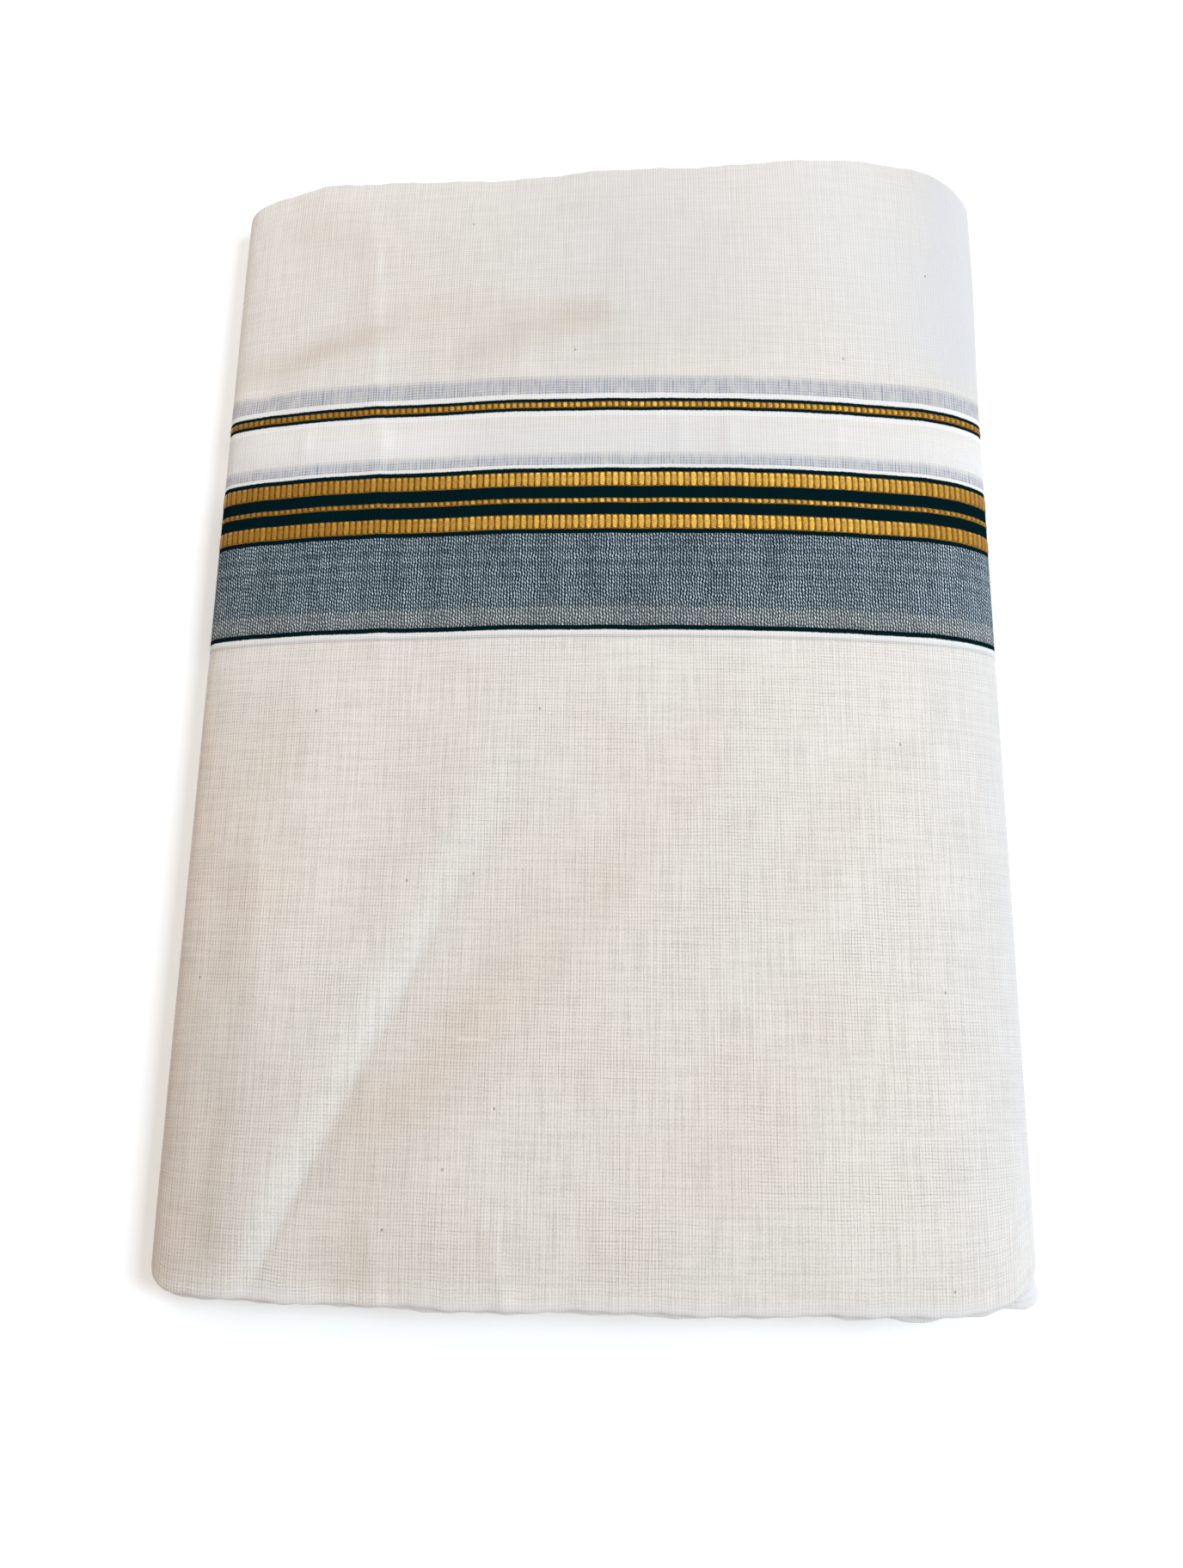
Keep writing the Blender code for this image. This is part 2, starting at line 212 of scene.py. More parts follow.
LENGTH_PROFILE = (
    LengthPoint(y=-167.0, crown=0.70, side=0.92),
    LengthPoint(y=-160.0, crown=0.80, side=0.95),
    LengthPoint(y=-145.0, crown=0.91, side=0.98),
    LengthPoint(y=-95.0, crown=0.98, side=1.00),
    LengthPoint(y=0.0, crown=1.00, side=1.00),
    LengthPoint(y=100.0, crown=1.00, side=1.00),
    LengthPoint(y=140.0, crown=0.94, side=0.98),
    LengthPoint(y=156.0, crown=0.84, side=0.95),
    LengthPoint(y=167.0, crown=0.72, side=0.92),
)

TOP_EDGE = (
    EdgePoint(across=-1.00, inset=15.0),
    EdgePoint(across=-0.96, inset=11.8),
    EdgePoint(across=-0.88, inset=9.0),
    EdgePoint(across=-0.75, inset=5.6),
    EdgePoint(across=-0.60, inset=6.2),
    EdgePoint(across=-0.30, inset=7.1),
    EdgePoint(across=0.00, inset=5.0),
    EdgePoint(across=0.30, inset=3.3),
    EdgePoint(across=0.50, inset=1.2),
    EdgePoint(across=0.66, inset=0.0),
    EdgePoint(across=0.82, inset=1.5),
    EdgePoint(across=0.92, inset=4.8),
    EdgePoint(across=0.97, inset=9.0),
    EdgePoint(across=1.00, inset=14.0),
)

BOTTOM_EDGE = (
    EdgePoint(across=-1.00, inset=9.0),
    EdgePoint(across=-0.98, inset=3.6),
    EdgePoint(across=-0.94, inset=1.1),
    EdgePoint(across=-0.75, inset=0.8),
    EdgePoint(across=-0.60, inset=0.2),
    EdgePoint(across=-0.20, inset=0.2),
    EdgePoint(across=0.10, inset=0.5),
    EdgePoint(across=0.60, inset=0.4),
    EdgePoint(across=0.80, inset=1.0),
    EdgePoint(across=0.90, inset=2.6),
    EdgePoint(across=0.96, inset=6.5),
    EdgePoint(across=1.00, inset=13.0),
)

TOP_PEEK = (
    PeekPoint(across=-1.00, peek=-1.2),
    PeekPoint(across=0.88, peek=-1.2),
    PeekPoint(across=0.94, peek=0.0),
    PeekPoint(across=0.975, peek=2.4),
    PeekPoint(across=1.00, peek=3.2),
)

BOTTOM_PEEK = (
    PeekPoint(across=-1.00, peek=0.5),
    PeekPoint(across=-0.60, peek=0.9),
    PeekPoint(across=0.10, peek=1.0),
    PeekPoint(across=0.70, peek=0.8),
    PeekPoint(across=0.86, peek=1.4),
    PeekPoint(across=0.91, peek=1.6),
    PeekPoint(across=0.95, peek=4.2),
    PeekPoint(across=0.98, peek=5.6),
    PeekPoint(across=1.00, peek=7.2),
)

# The second turn's edges: which way is inward, how far each stands out past the outer turn,
# and how far its free corner opens sideways
SECOND_EDGES = (
    SecondEdge(
        piece="second_turn_top_cloth",
        node="second_turn_top_edge",
        end=TOP_END,
        inward=-1,
        peeks=TOP_PEEK,
        opening=2.8,
    ),
    SecondEdge(
        piece="second_turn_bottom_cloth",
        node="second_turn_bottom_edge",
        end=BOTTOM_END,
        inward=1,
        peeks=BOTTOM_PEEK,
        opening=2.6,
    ),
)

# Low waves of the pressed cloth, and the small steps of its folded edges
WAVES = (
    Wave(height=0.16, across=0.022, along=0.016, up=0.02, turn=1),
    Wave(height=0.07, across=0.09, along=0.045, up=0.05, turn=-1),
)
RIPPLES = (
    Ripple(height=0.28, per_mm=0.11, turn=1),
    Ripple(height=0.20, per_mm=0.31, turn=2),
    Ripple(height=0.10, per_mm=0.90, turn=-1),
)

# Creases of the front, each from its upper end to its lower one, or from left to right
# if it is level. left and right are the widths of its two flanks, seen from above.
FRONT_CREASES = (
    Crease(x0=-12.0, y0=0.0, x1=-101.0, y1=-174.3, left=14.0, right=9.0, height=0.75),
    Crease(x0=-7.0, y0=-2.0, x1=-92.0, y1=-174.3, left=6.0, right=4.0, height=-0.45),
    Crease(x0=-36.0, y0=-46.0, x1=-97.0, y1=-174.3, left=8.0, right=5.0, height=0.65),
    Crease(x0=-67.0, y0=-122.0, x1=-88.5, y1=-172.0, left=1.6, right=1.1, height=-0.32),
    Crease(x0=-29.0, y0=-46.0, x1=-92.0, y1=-174.3, left=4.5, right=2.2, height=-0.8),
    Crease(x0=-50.0, y0=-102.3, x1=-82.0, y1=-174.3, left=3.0, right=8.0, height=0.4),
    Crease(x0=44.0, y0=-10.3, x1=-22.0, y1=-94.3, left=7.0, right=4.0, height=-0.55),
    Crease(x0=34.0, y0=-12.3, x1=-27.0, y1=-86.3, left=9.0, right=6.0, height=0.4),
    Crease(x0=-73.0, y0=182.7, x1=-58.0, y1=-22.3, left=4.5, right=1.8, height=0.42),
    Crease(x0=-66.0, y0=126.7, x1=-110.0, y1=79.7, left=5.0, right=6.0, height=-0.85),
    Crease(x0=-93.0, y0=-32.3, x1=-87.0, y1=-106.3, left=5.0, right=3.0, height=0.5),
    Crease(x0=-100.0, y0=-54.3, x1=-103.0, y1=-92.3, left=4.0, right=4.0, height=-0.5),
    Crease(x0=-97.0, y0=-102.3, x1=-101.0, y1=-164.3, left=5.0, right=4.0, height=-0.7),
    Crease(x0=-54.0, y0=-138.3, x1=-52.5, y1=-178.3, left=3.0, right=2.0, height=0.4),
    Crease(x0=-28.0, y0=-136.3, x1=-16.0, y1=-178.3, left=3.0, right=2.0, height=0.4),
    Crease(x0=-46.0, y0=137.7, x1=-6.0, y1=150.7, left=3.0, right=2.5, height=-0.5),
    Crease(x0=84.0, y0=-59.8, x1=118.0, y1=-57.8, left=1.3, right=1.3, height=-0.35),
    Crease(x0=-86.5, y0=74.7, x1=-86.5, y1=63.7, left=2.2, right=1.5, height=0.42),
    Crease(x0=-62.5, y0=75.2, x1=-62.5, y1=62.7, left=2.2, right=1.5, height=0.42),
    Crease(x0=22.5, y0=74.7, x1=22.5, y1=61.7, left=2.2, right=1.5, height=0.36),
    Crease(x0=36.9, y0=74.7, x1=36.0, y1=62.7, left=2.2, right=1.5, height=0.42),
    Crease(x0=67.8, y0=74.7, x1=67.0, y1=63.7, left=2.4, right=1.6, height=0.36),
    Crease(x0=-49.0, y0=115.7, x1=-48.0, y1=81.7, left=5.0, right=4.0, height=0.28),
    Crease(x0=-21.0, y0=119.7, x1=-23.0, y1=81.7, left=5.0, right=3.5, height=0.3),
    Crease(x0=1.0, y0=147.7, x1=-4.0, y1=81.7, left=6.0, right=5.0, height=-0.25),
    Crease(x0=16.0, y0=105.7, x1=15.0, y1=77.7, left=4.0, right=4.0, height=0.22),
    Crease(x0=108.5, y0=163.7, x1=111.8, y1=103.7, left=1.2, right=1.2, height=-0.5),
    Crease(x0=112.0, y0=-62.3, x1=109.0, y1=-172.3, left=2.0, right=2.0, height=-0.3),
)

# Soft streaks where the cotton is painted warmer (share above 0) or cooler (below 0),
# placed as the creases are. The warm streaks are partly the cotton's own uneven tone and
# partly painted warm shade on the left side, along its edge and beside the creases; the
# cool streaks are painted cool light on the right side, at the top, on the bottom edge, in
# the band between the borders and on a lit flank of the long crease.
TINTS_AND_PAINTED_LIGHT = (
    Crease(x0=-48.0, y0=28.0, x1=-72.0, y1=-84.0, left=30.0, right=20.0, height=0.38),
    Crease(x0=-90.0, y0=14.0, x1=-104.0, y1=-186.0, left=20.0, right=14.0, height=0.60),
    Crease(x0=10.0, y0=40.0, x1=-12.0, y1=-200.0, left=60.0, right=45.0, height=0.22),
    Crease(x0=38.0, y0=-2.0, x1=-4.0, y1=-72.0, left=8.0, right=7.0, height=0.35),
    Crease(x0=8.0, y0=-52.0, x1=-58.0, y1=-128.0, left=12.0, right=12.0, height=0.55),
    Crease(x0=-58.0, y0=-96.0, x1=-60.0, y1=-190.0, left=12.0, right=13.0, height=0.60),
    Crease(x0=-112.0, y0=50.0, x1=-113.0, y1=-200.0, left=9.0, right=9.0, height=0.80),
    Crease(x0=-62.0, y0=190.0, x1=-60.0, y1=84.0, left=26.0, right=26.0, height=0.20),
    Crease(x0=78.0, y0=-16.0, x1=48.0, y1=-76.0, left=8.0, right=8.0, height=0.28),
    Crease(x0=74.0, y0=-76.0, x1=20.0, y1=-150.0, left=22.0, right=20.0, height=0.30),
    Crease(x0=-111.0, y0=172.0, x1=-107.0, y1=84.0, left=12.0, right=14.0, height=0.15),
    Crease(x0=-72.0, y0=113.0, x1=10.0, y1=106.0, left=6.0, right=6.0, height=0.40),
    Crease(x0=-54.0, y0=90.0, x1=10.0, y1=112.0, left=7.0, right=6.0, height=0.55),
    Crease(x0=-118.0, y0=91.0, x1=-56.0, y1=106.0, left=5.0, right=4.0, height=0.70),
    Crease(x0=-104.0, y0=152.0, x1=-66.0, y1=128.0, left=9.0, right=9.0, height=0.35),
    Crease(x0=107.0, y0=180.0, x1=109.0, y1=80.0, left=12.0, right=12.0, height=-0.90),
    Crease(x0=70.0, y0=184.0, x1=94.0, y1=82.0, left=18.0, right=18.0, height=-0.45),
    Crease(x0=113.0, y0=60.0, x1=113.0, y1=-190.0, left=17.0, right=17.0, height=-0.50),
    Crease(x0=-190.0, y0=66.0, x1=190.0, y1=66.0, left=8.0, right=8.0, height=-0.60),
    Crease(x0=-190.0, y0=-167.0, x1=190.0, y1=-166.0, left=5.0, right=5.0, height=-1.10),
    Crease(x0=-6.0, y0=2.0, x1=-92.0, y1=-176.0, left=9.0, right=4.0, height=-0.28),
    Crease(x0=0.0, y0=190.0, x1=16.0, y1=88.0, left=50.0, right=50.0, height=-0.25),
)

# Painted shade and painted light: broad parts where the cotton is painted darker (share
# above 0) or lighter (below 0)
PAINTED_SHADES = (
    Crease(x0=104.0, y0=200.0, x1=109.0, y1=70.0, left=16.0, right=16.0, height=0.36),
    Crease(x0=0.0, y0=200.0, x1=14.0, y1=76.0, left=50.0, right=50.0, height=0.26),
    Crease(x0=-103.0, y0=-60.0, x1=-110.0, y1=-230.0, left=18.0, right=18.0, height=0.30),
    Crease(x0=-58.0, y0=-96.0, x1=-60.0, y1=-190.0, left=12.0, right=13.0, height=0.10),
    Crease(x0=-52.0, y0=20.0, x1=-86.0, y1=-90.0, left=18.0, right=18.0, height=-0.18),
    Crease(x0=112.0, y0=60.0, x1=112.0, y1=-150.0, left=16.0, right=16.0, height=0.22),
    Crease(x0=-120.0, y0=71.0, x1=-30.0, y1=67.0, left=7.0, right=7.0, height=-0.35),
    Crease(x0=-108.0, y0=190.0, x1=-106.0, y1=60.0, left=14.0, right=14.0, height=-0.16),
    Crease(x0=30.0, y0=69.0, x1=180.0, y1=67.0, left=7.0, right=7.0, height=-0.16),
    Crease(x0=-190.0, y0=-167.0, x1=190.0, y1=-166.0, left=5.0, right=5.0, height=-0.42),
    Crease(x0=-118.0, y0=91.0, x1=-56.0, y1=106.0, left=5.0, right=4.0, height=0.16),
    Crease(x0=-54.0, y0=90.0, x1=10.0, y1=112.0, left=7.0, right=6.0, height=0.10),
)

# Creases of the back face, which are pressed in where it lies on the table
BACK_CREASES = (
    Crease(x0=-70.0, y0=185.0, x1=-52.0, y1=-30.0, left=4.0, right=2.0, height=-0.5),
    Crease(x0=20.0, y0=120.0, x1=74.0, y1=-80.0, left=6.0, right=3.0, height=-0.6),
    Crease(x0=90.0, y0=-40.0, x1=52.0, y1=-176.0, left=5.0, right=3.0, height=-0.6),
    Crease(x0=-20.0, y0=-60.0, x1=-44.0, y1=-176.0, left=4.0, right=3.0, height=-0.4),
    Crease(x0=-96.0, y0=60.0, x1=-40.0, y1=84.0, left=3.0, right=3.0, height=-0.3),
)

# The woven stripes of the border ply, by their places along the bundle
STRIPES = (
    Stripe(weave="ghost", low=81.2, high=87.0),
    Stripe(weave="bright", low=79.6, high=81.2),
    Stripe(weave="dark", low=78.5, high=79.6),
    Stripe(weave="bead", low=76.8, high=78.5),
    Stripe(weave="dark", low=75.7, high=76.8),
    Stripe(weave="bright", low=74.1, high=75.7),
    Stripe(weave="ghost", low=58.8, high=62.6),
    Stripe(weave="bright", low=57.8, high=58.8),
    Stripe(weave="dark", low=56.4, high=57.8),
    Stripe(weave="gold", low=52.2, high=56.4),
    Stripe(weave="dark", low=48.4, high=52.2),
    Stripe(weave="bead", low=47.1, high=48.4),
    Stripe(weave="dark", low=43.4, high=47.1),
    Stripe(weave="gold", low=39.2, high=43.4),
    Stripe(weave="dark", low=37.8, high=39.2),
    Stripe(weave="chambray", low=10.7, high=37.8),
    Stripe(weave="dark", low=9.3, high=10.7),
    Stripe(weave="listing", low=7.0, high=9.2),
)

# Bits of seed husk and thick places in the thread, by their places on the front
SPECKS = (
    Mark(x=-39.6, y=144.1),
    Mark(x=96.2, y=124.6),
    Mark(x=69.9, y=93.8),
    Mark(x=-7.8, y=95.5),
    Mark(x=-77.3, y=-12.7),
    Mark(x=-15.3, y=-13.2),
    Mark(x=81.5, y=-21.4),
    Mark(x=-49.2, y=-59.9),
    Mark(x=-31.6, y=-58.0),
    Mark(x=90.4, y=-86.8),
    Mark(x=-105.0, y=-85.3),
    Mark(x=-24.1, y=-117.1),
    Mark(x=-36.7, y=-132.0),
    Mark(x=-51.3, y=-146.8),
    Mark(x=89.4, y=-159.2),
)
SLUBS = (
    Slub(x=80.0, y=-122.6, length=26.0),
    Slub(x=74.0, y=-155.3, length=30.0),
    Slub(x=-30.0, y=-100.3, length=9.0),
)

# The marks of the reed and of the picks: their soft edges as shares of the pitch, and how
# dark they are at least, by each line's own strength and where the cloth is open
REED_MARK = ThreadMark(outer=0.26, inner=0.02, least=0.11, own=0.12, open=0.26)
PICK_MARK = ThreadMark(outer=0.30, inner=0.04, least=0.02, own=0.09, open=0.26)
MARK_MIDDLE = 0.4

# How much the uneven threads change the cotton's tone, and its relief with the marks
WARP_TONE = 0.44
WEFT_TONE = 0.30
GRAIN_TONE = 0.36
WARP_RELIEF = 0.50
WEFT_RELIEF = 0.35
REED_RELIEF = 0.30
PICK_RELIEF = 0.20

# How bright the blue-grey band's dashes are: at least, by their own strength, where worn, by rows, and
# by painted light that grows towards the right
DASH_LIGHT = DashLight(least=0.26, own=0.28, worn=0.16, rows=0.20, right=0.14)

# The raised gold ribs of the wide stripes, and the smaller beads of the thin ones
RIB_STYLES = {
    "gold": RibStyle(width=1.0, reach=1.0, loose=0.1, tone=1.12),
    "bead": RibStyle(width=0.82, reach=0.86, loose=0.35, tone=1.3),
}

LAMPS = (
    Lamp(name="window_light", place=(1.66, 0.20, 1.70), size=1.0, power=40.5, colour=(0.85, 1.0, 1.14)),
    Lamp(name="top_light", place=(-0.22, 0.72, 0.75), size=0.6, power=3.2, colour=(0.97, 1.0, 1.03)),
)
ROOM_COLOUR = (1.0, 0.90, 0.78, 1.0)
ROOM_STRENGTH = 0.565

# The floor, whose slight glow keeps it as white as the photograph's ground
FLOOR_HALF = 4
FLOOR_COLOUR = (0.95, 0.96, 0.98, 1.0)
FLOOR_GLOW = (1.0, 0.97, 0.93, 1.0)
FLOOR_GLOW_STRENGTH = 0.10
FLOOR_ROUGHNESS = 0.9

# The camera's place in millimetres, and which ways are its right and its back
CAMERA_PLACE = (7.0, -101.2, 316.4)
CAMERA_RIGHT = (0.99959, 0.01578, -0.02394)
CAMERA_BACK = (0.02688, -0.22446, 0.97411)
SENSOR_WIDTH = 36.0
LENS = 26.0


# Working out the bundle's form


def smooth_step(value):
    """Rise from 0 to 1 with level ends as the value goes from 0 to 1."""
    value = np.clip(value, 0.0, 1.0)
    return value * value * (3 - 2 * value)


def read_table(places, values, where):
    """Read a table on a smooth curve that never overshoots its rows."""
    places = np.array(places, float)
    values = np.array(values, float)
    where = np.clip(where, places[0], places[-1])
    slopes = np.diff(values) / np.diff(places)
    product = slopes[:-1] * slopes[1:]
    total = np.where(product > 0, slopes[:-1] + slopes[1:], 1.0)
    bends = np.where(product > 0, 2 * product / total, 0.0)
    tangents = np.concatenate(([slopes[0]], bends, [slopes[-1]]))
    row = np.clip(np.searchsorted(places, where, side="right") - 1, 0, len(slopes) - 1)
    span = places[row + 1] - places[row]
    share = (where - places[row]) / span
    rise = smooth_step(share)
    start_bend = share * (1 - share) ** 2 * span * tangents[row]
    end_bend = share ** 2 * (1 - share) * span * tangents[row + 1]
    return values[row] * (1 - rise) + values[row + 1] * rise + start_bend - end_bend


def arc_place(across):
    """Turn a place across the bundle into its share of the section's arc."""
    return np.arcsin(np.clip(across, -1.0, 1.0)) * 2 / math.pi


def across_table(rows, column, across):
    """Read a column of a table whose rows lie across the bundle."""
    places = arc_place([row.across for row in rows])
    return read_table(places, [getattr(row, column) for row in rows], arc_place(across))


def length_table(column, y):
    """Read a column of the table that runs along the bundle."""
    places = [row.y for row in LENGTH_PROFILE]
    return read_table(places, [getattr(row, column) for row in LENGTH_PROFILE], y)


def front_height(across, y):
    """Height of the outer turn's front above the table, without its creases."""
    side = SIDE_LINE_HEIGHT * length_table("side", y)
    dome = across_table(FRONT_PROFILE, "height", across) - SIDE_LINE_HEIGHT
    sinking = (1 - length_table("crown", y)) * (1 - np.abs(across) ** SHOULDER_HOLDS)
    return side + dome * (1 - sinking)


def even_columns():
    """Places across the front, an even step of cloth apart."""
    fine = np.sin(np.linspace(-math.pi / 2, math.pi / 2, 2001))
    height = front_height(fine, np.zeros_like(fine))
    steps = np.hypot(np.diff(fine * HALF_WIDTH), np.diff(height))
    length = np.concatenate(([0.0], np.cumsum(steps)))
    return np.interp(np.linspace(0.0, length[-1], FRONT_COLUMNS + 1), length, fine)[:-1]


def sections(y):
    """Points (x, z) of the outer section at each place along Y, from the left side line."""
    y = np.asarray(y, float)[:, None]
    side = SIDE_LINE_HEIGHT * length_table("side", y)
    flat_half = HALF_WIDTH - UNDER_EDGE_RADIUS
    across = even_columns()[None, :]
    turn = 0.5 * math.pi * np.arange(SIDE_COLUMNS)[None, :] / SIDE_COLUMNS
    level = 1 - 2 * np.arange(UNDER_COLUMNS)[None, :] / UNDER_COLUMNS
    ones = np.ones_like(y)
    curve_x = flat_half + UNDER_EDGE_RADIUS * np.cos(turn) * ones
    curve_z = side * (1 - np.sin(turn))
    back_turn = 0.5 * math.pi - turn
    x = np.concatenate((
        across * HALF_WIDTH * ones,
        curve_x,
        flat_half * level * ones,
        -flat_half - UNDER_EDGE_RADIUS * np.cos(back_turn) * ones,
    ), axis=1)
    z = np.concatenate((
        front_height(across * ones, y * np.ones_like(across)),
        curve_z,
        0 * level * ones,
        side * (1 - np.sin(back_turn)),
    ), axis=1)
    return x, z


def outward_normals(x, z):
    """Unit normals of closed sections whose points run clockwise."""
    ahead_x, ahead_z = np.roll(x, -1, axis=1) - x, np.roll(z, -1, axis=1) - z
    ahead = np.hypot(ahead_x, ahead_z)
    run_x = ahead_x / ahead + np.roll(ahead_x / ahead, 1, axis=1)
    run_z = ahead_z / ahead + np.roll(ahead_z / ahead, 1, axis=1)
    length = np.hypot(run_x, run_z)
    return -run_z / length, run_x / length


def cloth_places():
    """Distance round the bundle to each column, at its middle, and the whole way round."""
    x, z = sections([0.0])
    steps = np.hypot(np.roll(x[0], -1) - x[0], np.roll(z[0], -1) - z[0])
    return np.concatenate(([0.0], np.cumsum(steps)))


def place_round(x):
    """Distance round the bundle to a place on its front, from the left side line."""
    columns = even_columns() * HALF_WIDTH
    return float(np.interp(x, columns, cloth_places()[:FRONT_COLUMNS]))


def crease_relief(creases, x, y):
    """Height that creases add to the cloth at its points."""
    relief = np.zeros_like(x)
    for crease in creases:
        run_x, run_y = crease.x1 - crease.x0, crease.y1 - crease.y0
        length = math.hypot(run_x, run_y)
        along = ((x - crease.x0) * run_x + (y - crease.y0) * run_y) / length
        aside = ((x - crease.x0) * run_y - (y - crease.y0) * run_x) / length
        width = np.where(aside < 0, crease.left, crease.right)
        if abs(run_x) < abs(run_y):
            width = np.where(aside > 0, crease.left, crease.right)
        starts = smooth_step(along / (CREASE_STARTS * length))
        ends = smooth_step((length - along) / (CREASE_ENDS * length))
        fade = starts * ends
        relief += crease.height * fade * np.exp(-(aside / width) ** 2)
    return relief


def small_waves(x, y, z, seed):
    """Low uneven waves of pressed cloth, in millimetres."""
    relief = np.zeros(x.size)
    for wave in WAVES:
        up = z.ravel() * wave.up + wave.turn * seed
        places = zip(x.ravel() * wave.across, y.ravel() * wave.along, up)
        relief += [wave.height * noise.noise(Vector(place)) for place in places]
    return relief.reshape(x.shape)


def edge_shift(across, y):
    """How far a point is drawn in along Y by the outline of the nearer end."""
    near_top = smooth_step((y - TOP_END + END_ZONE) / END_ZONE)
    near_bottom = smooth_step((BOTTOM_END + END_ZONE - y) / END_ZONE)
    top = across_table(TOP_EDGE, "inset", across) * near_top
    bottom = across_table(BOTTOM_EDGE, "inset", across) * near_bottom
    return np.where(y > 0, -top, bottom)


def edge_wander(x, y, seed):
    """Small uneven steps of a folded edge along Y, strongest at the ends."""
    near_end = smooth_step((np.abs(y) - TOP_END + RIPPLE_REACH) / RIPPLE_REACH)
    wander = sum(ripple.height * np.sin(x * ripple.per_mm + ripple.turn * seed) for ripple in RIPPLES)
    return wander * near_end


def cloth_grid(path, crease_share=1.0, stand_out=None, flare=None, seed=0.0):
    """Points of cloth that goes round the bundle, a row for each (y, depth) of the path."""
    y = np.array([row[0] for row in path])
    depth = np.array([row[1] for row in path])[:, None]
    x, z = sections(y)
    normal_x, normal_z = outward_normals(x, z)
    y_grid = y[:, None] * np.ones_like(x)
    across = np.clip(x / HALF_WIDTH, -1, 1)
    on_front = z > FRONT_FROM
    front = crease_relief(FRONT_CREASES, x, y_grid) + small_waves(x, y_grid, z, seed)
    back = crease_relief(BACK_CREASES, x, y_grid)
    back -= np.abs(small_waves(x, y_grid, z, seed + 4.0))
    fade = 1 - np.abs(across) ** FRONT_HOLDS
    back_fade = smooth_step((HALF_WIDTH - UNDER_EDGE_RADIUS - np.abs(x)) / BACK_GROWS)
    relief = np.where(on_front, front * fade, back * back_fade * (z < BACK_BELOW))
    inward = depth - crease_share * relief
    shift = edge_shift(across, y_grid) + edge_wander(x, y_grid, seed)
    if stand_out is not None:
        shift = shift + stand_out(across)
    points = np.stack((x - normal_x * inward, y_grid + shift, z - normal_z * inward), axis=2)
    to_side = smooth_step((across - SPREAD_FROM) / (1.0 - SPREAD_FROM))
    to_top = smooth_step((y_grid - SPREAD_Y) / SPREAD_Y_GROWS)
    points[:, :, 0] += TOP_SPREAD * to_side * to_top
    if flare is not None:
        points[:, :, 0] += flare(across)
    points[:, :, 2] = np.maximum(points[:, :, 2], LOWEST_CLOTH)
    return points


def sheet_mesh(name, points, along, round_places):
    """A tube of cloth from a grid of points, with its weave's UV map in metres."""
    rows, columns = points.shape[:2]
    index = np.arange(rows * columns).reshape(rows, columns)
    follow = np.roll(index, -1, axis=1)
    faces = np.stack((index[:-1], follow[:-1], follow[1:], index[1:]), axis=2).reshape(-1, 4)
    mesh = bpy.data.meshes.new(name)
    mesh.from_pydata((points.reshape(-1, 3) * MM).tolist(), [], faces.tolist())
    across_low = np.broadcast_to(round_places[:-1], (rows - 1, columns))
    across_high = np.broadcast_to(round_places[1:], (rows - 1, columns))
    low = np.broadcast_to(np.array(along[:-1])[:, None], (rows - 1, columns))
    high = np.broadcast_to(np.array(along[1:])[:, None], (rows - 1, columns))
    corners = np.stack((
        np.stack((across_low, low), axis=2),
        np.stack((across_high, low), axis=2),
        np.stack((across_high, high), axis=2),
        np.stack((across_low, high), axis=2),
    ), axis=2)
    layer = mesh.uv_layers.new(name="weave")
    layer.data.foreach_set("uv", (corners * MM).astype(np.float32).ravel())
    mesh.shade_smooth()
    return mesh


def tint_and_shade_cloth(mesh, points):
    """Store how warm the cotton is, from its tone, painted warm shade and painted cool light, and how
    dark it is painted by painted shade and light, mirrored and fainter on the back.
    """
    x, y, z = points[:, :, 0], points[:, :, 1], points[:, :, 2]
    front_share = smooth_step((z - TINT_FROM) / TINT_GROWS)
    for name, table in (("warmth", TINTS_AND_PAINTED_LIGHT), ("shade", PAINTED_SHADES)):
        front = crease_relief(table, x, y) * front_share
        share = front + BACK_TINT * crease_relief(table, -x, y) * (1 - front_share)
        attribute = mesh.attributes.new(name, "FLOAT", "POINT")
        attribute.data.foreach_set("value", share.astype(np.float32).ravel())


def path_lengths(path, start):
    """Distance along a path of (y, depth) rows, from a starting value."""
    steps = [math.hypot(b[0] - a[0], b[1] - a[1]) for a, b in zip(path, path[1:])]
    return np.concatenate(([start], start + np.cumsum(steps)))


def arc(centre_y, centre_depth, radius, start, end, steps):
    """Points (y, depth) of an arc; an angle of 0 points to +Y and 90 to the outer face."""
    angles = np.radians(np.linspace(start, end, steps + 1))
    return [(centre_y + radius * math.cos(a), centre_depth - radius * math.sin(a)) for a in angles]


def rows_between(start, end, step):
    """Evenly spaced places from one to another, about a step apart."""
    count = max(2, int(round(abs(end - start) / step)))
    return [start + (end - start) * index / count for index in range(count + 1)]


# Building with nodes


class Wire:
    """A value in a node tree that can be used in sums."""

    def __init__(self, maker, socket):
        self.maker = maker
        self.socket = socket

    def sum(self, operation, first, second):
        """A Math node on two values."""
        return self.maker.node("ShaderNodeMath", {"operation": operation}, {0: first, 1: second})

    def __add__(self, other):
        return self.sum("ADD", self, other)

    def __radd__(self, other):
        return self.sum("ADD", other, self)

    def __sub__(self, other):
        return self.sum("SUBTRACT", self, other)

    def __rsub__(self, other):
        return self.sum("SUBTRACT", other, self)

    def __mul__(self, other):
        return self.sum("MULTIPLY", self, other)

    def __rmul__(self, other):
        return self.sum("MULTIPLY", other, self)

    def __truediv__(self, other):
        return self.sum("DIVIDE", self, other)

    def __pow__(self, other):
        return self.sum("POWER", self, other)


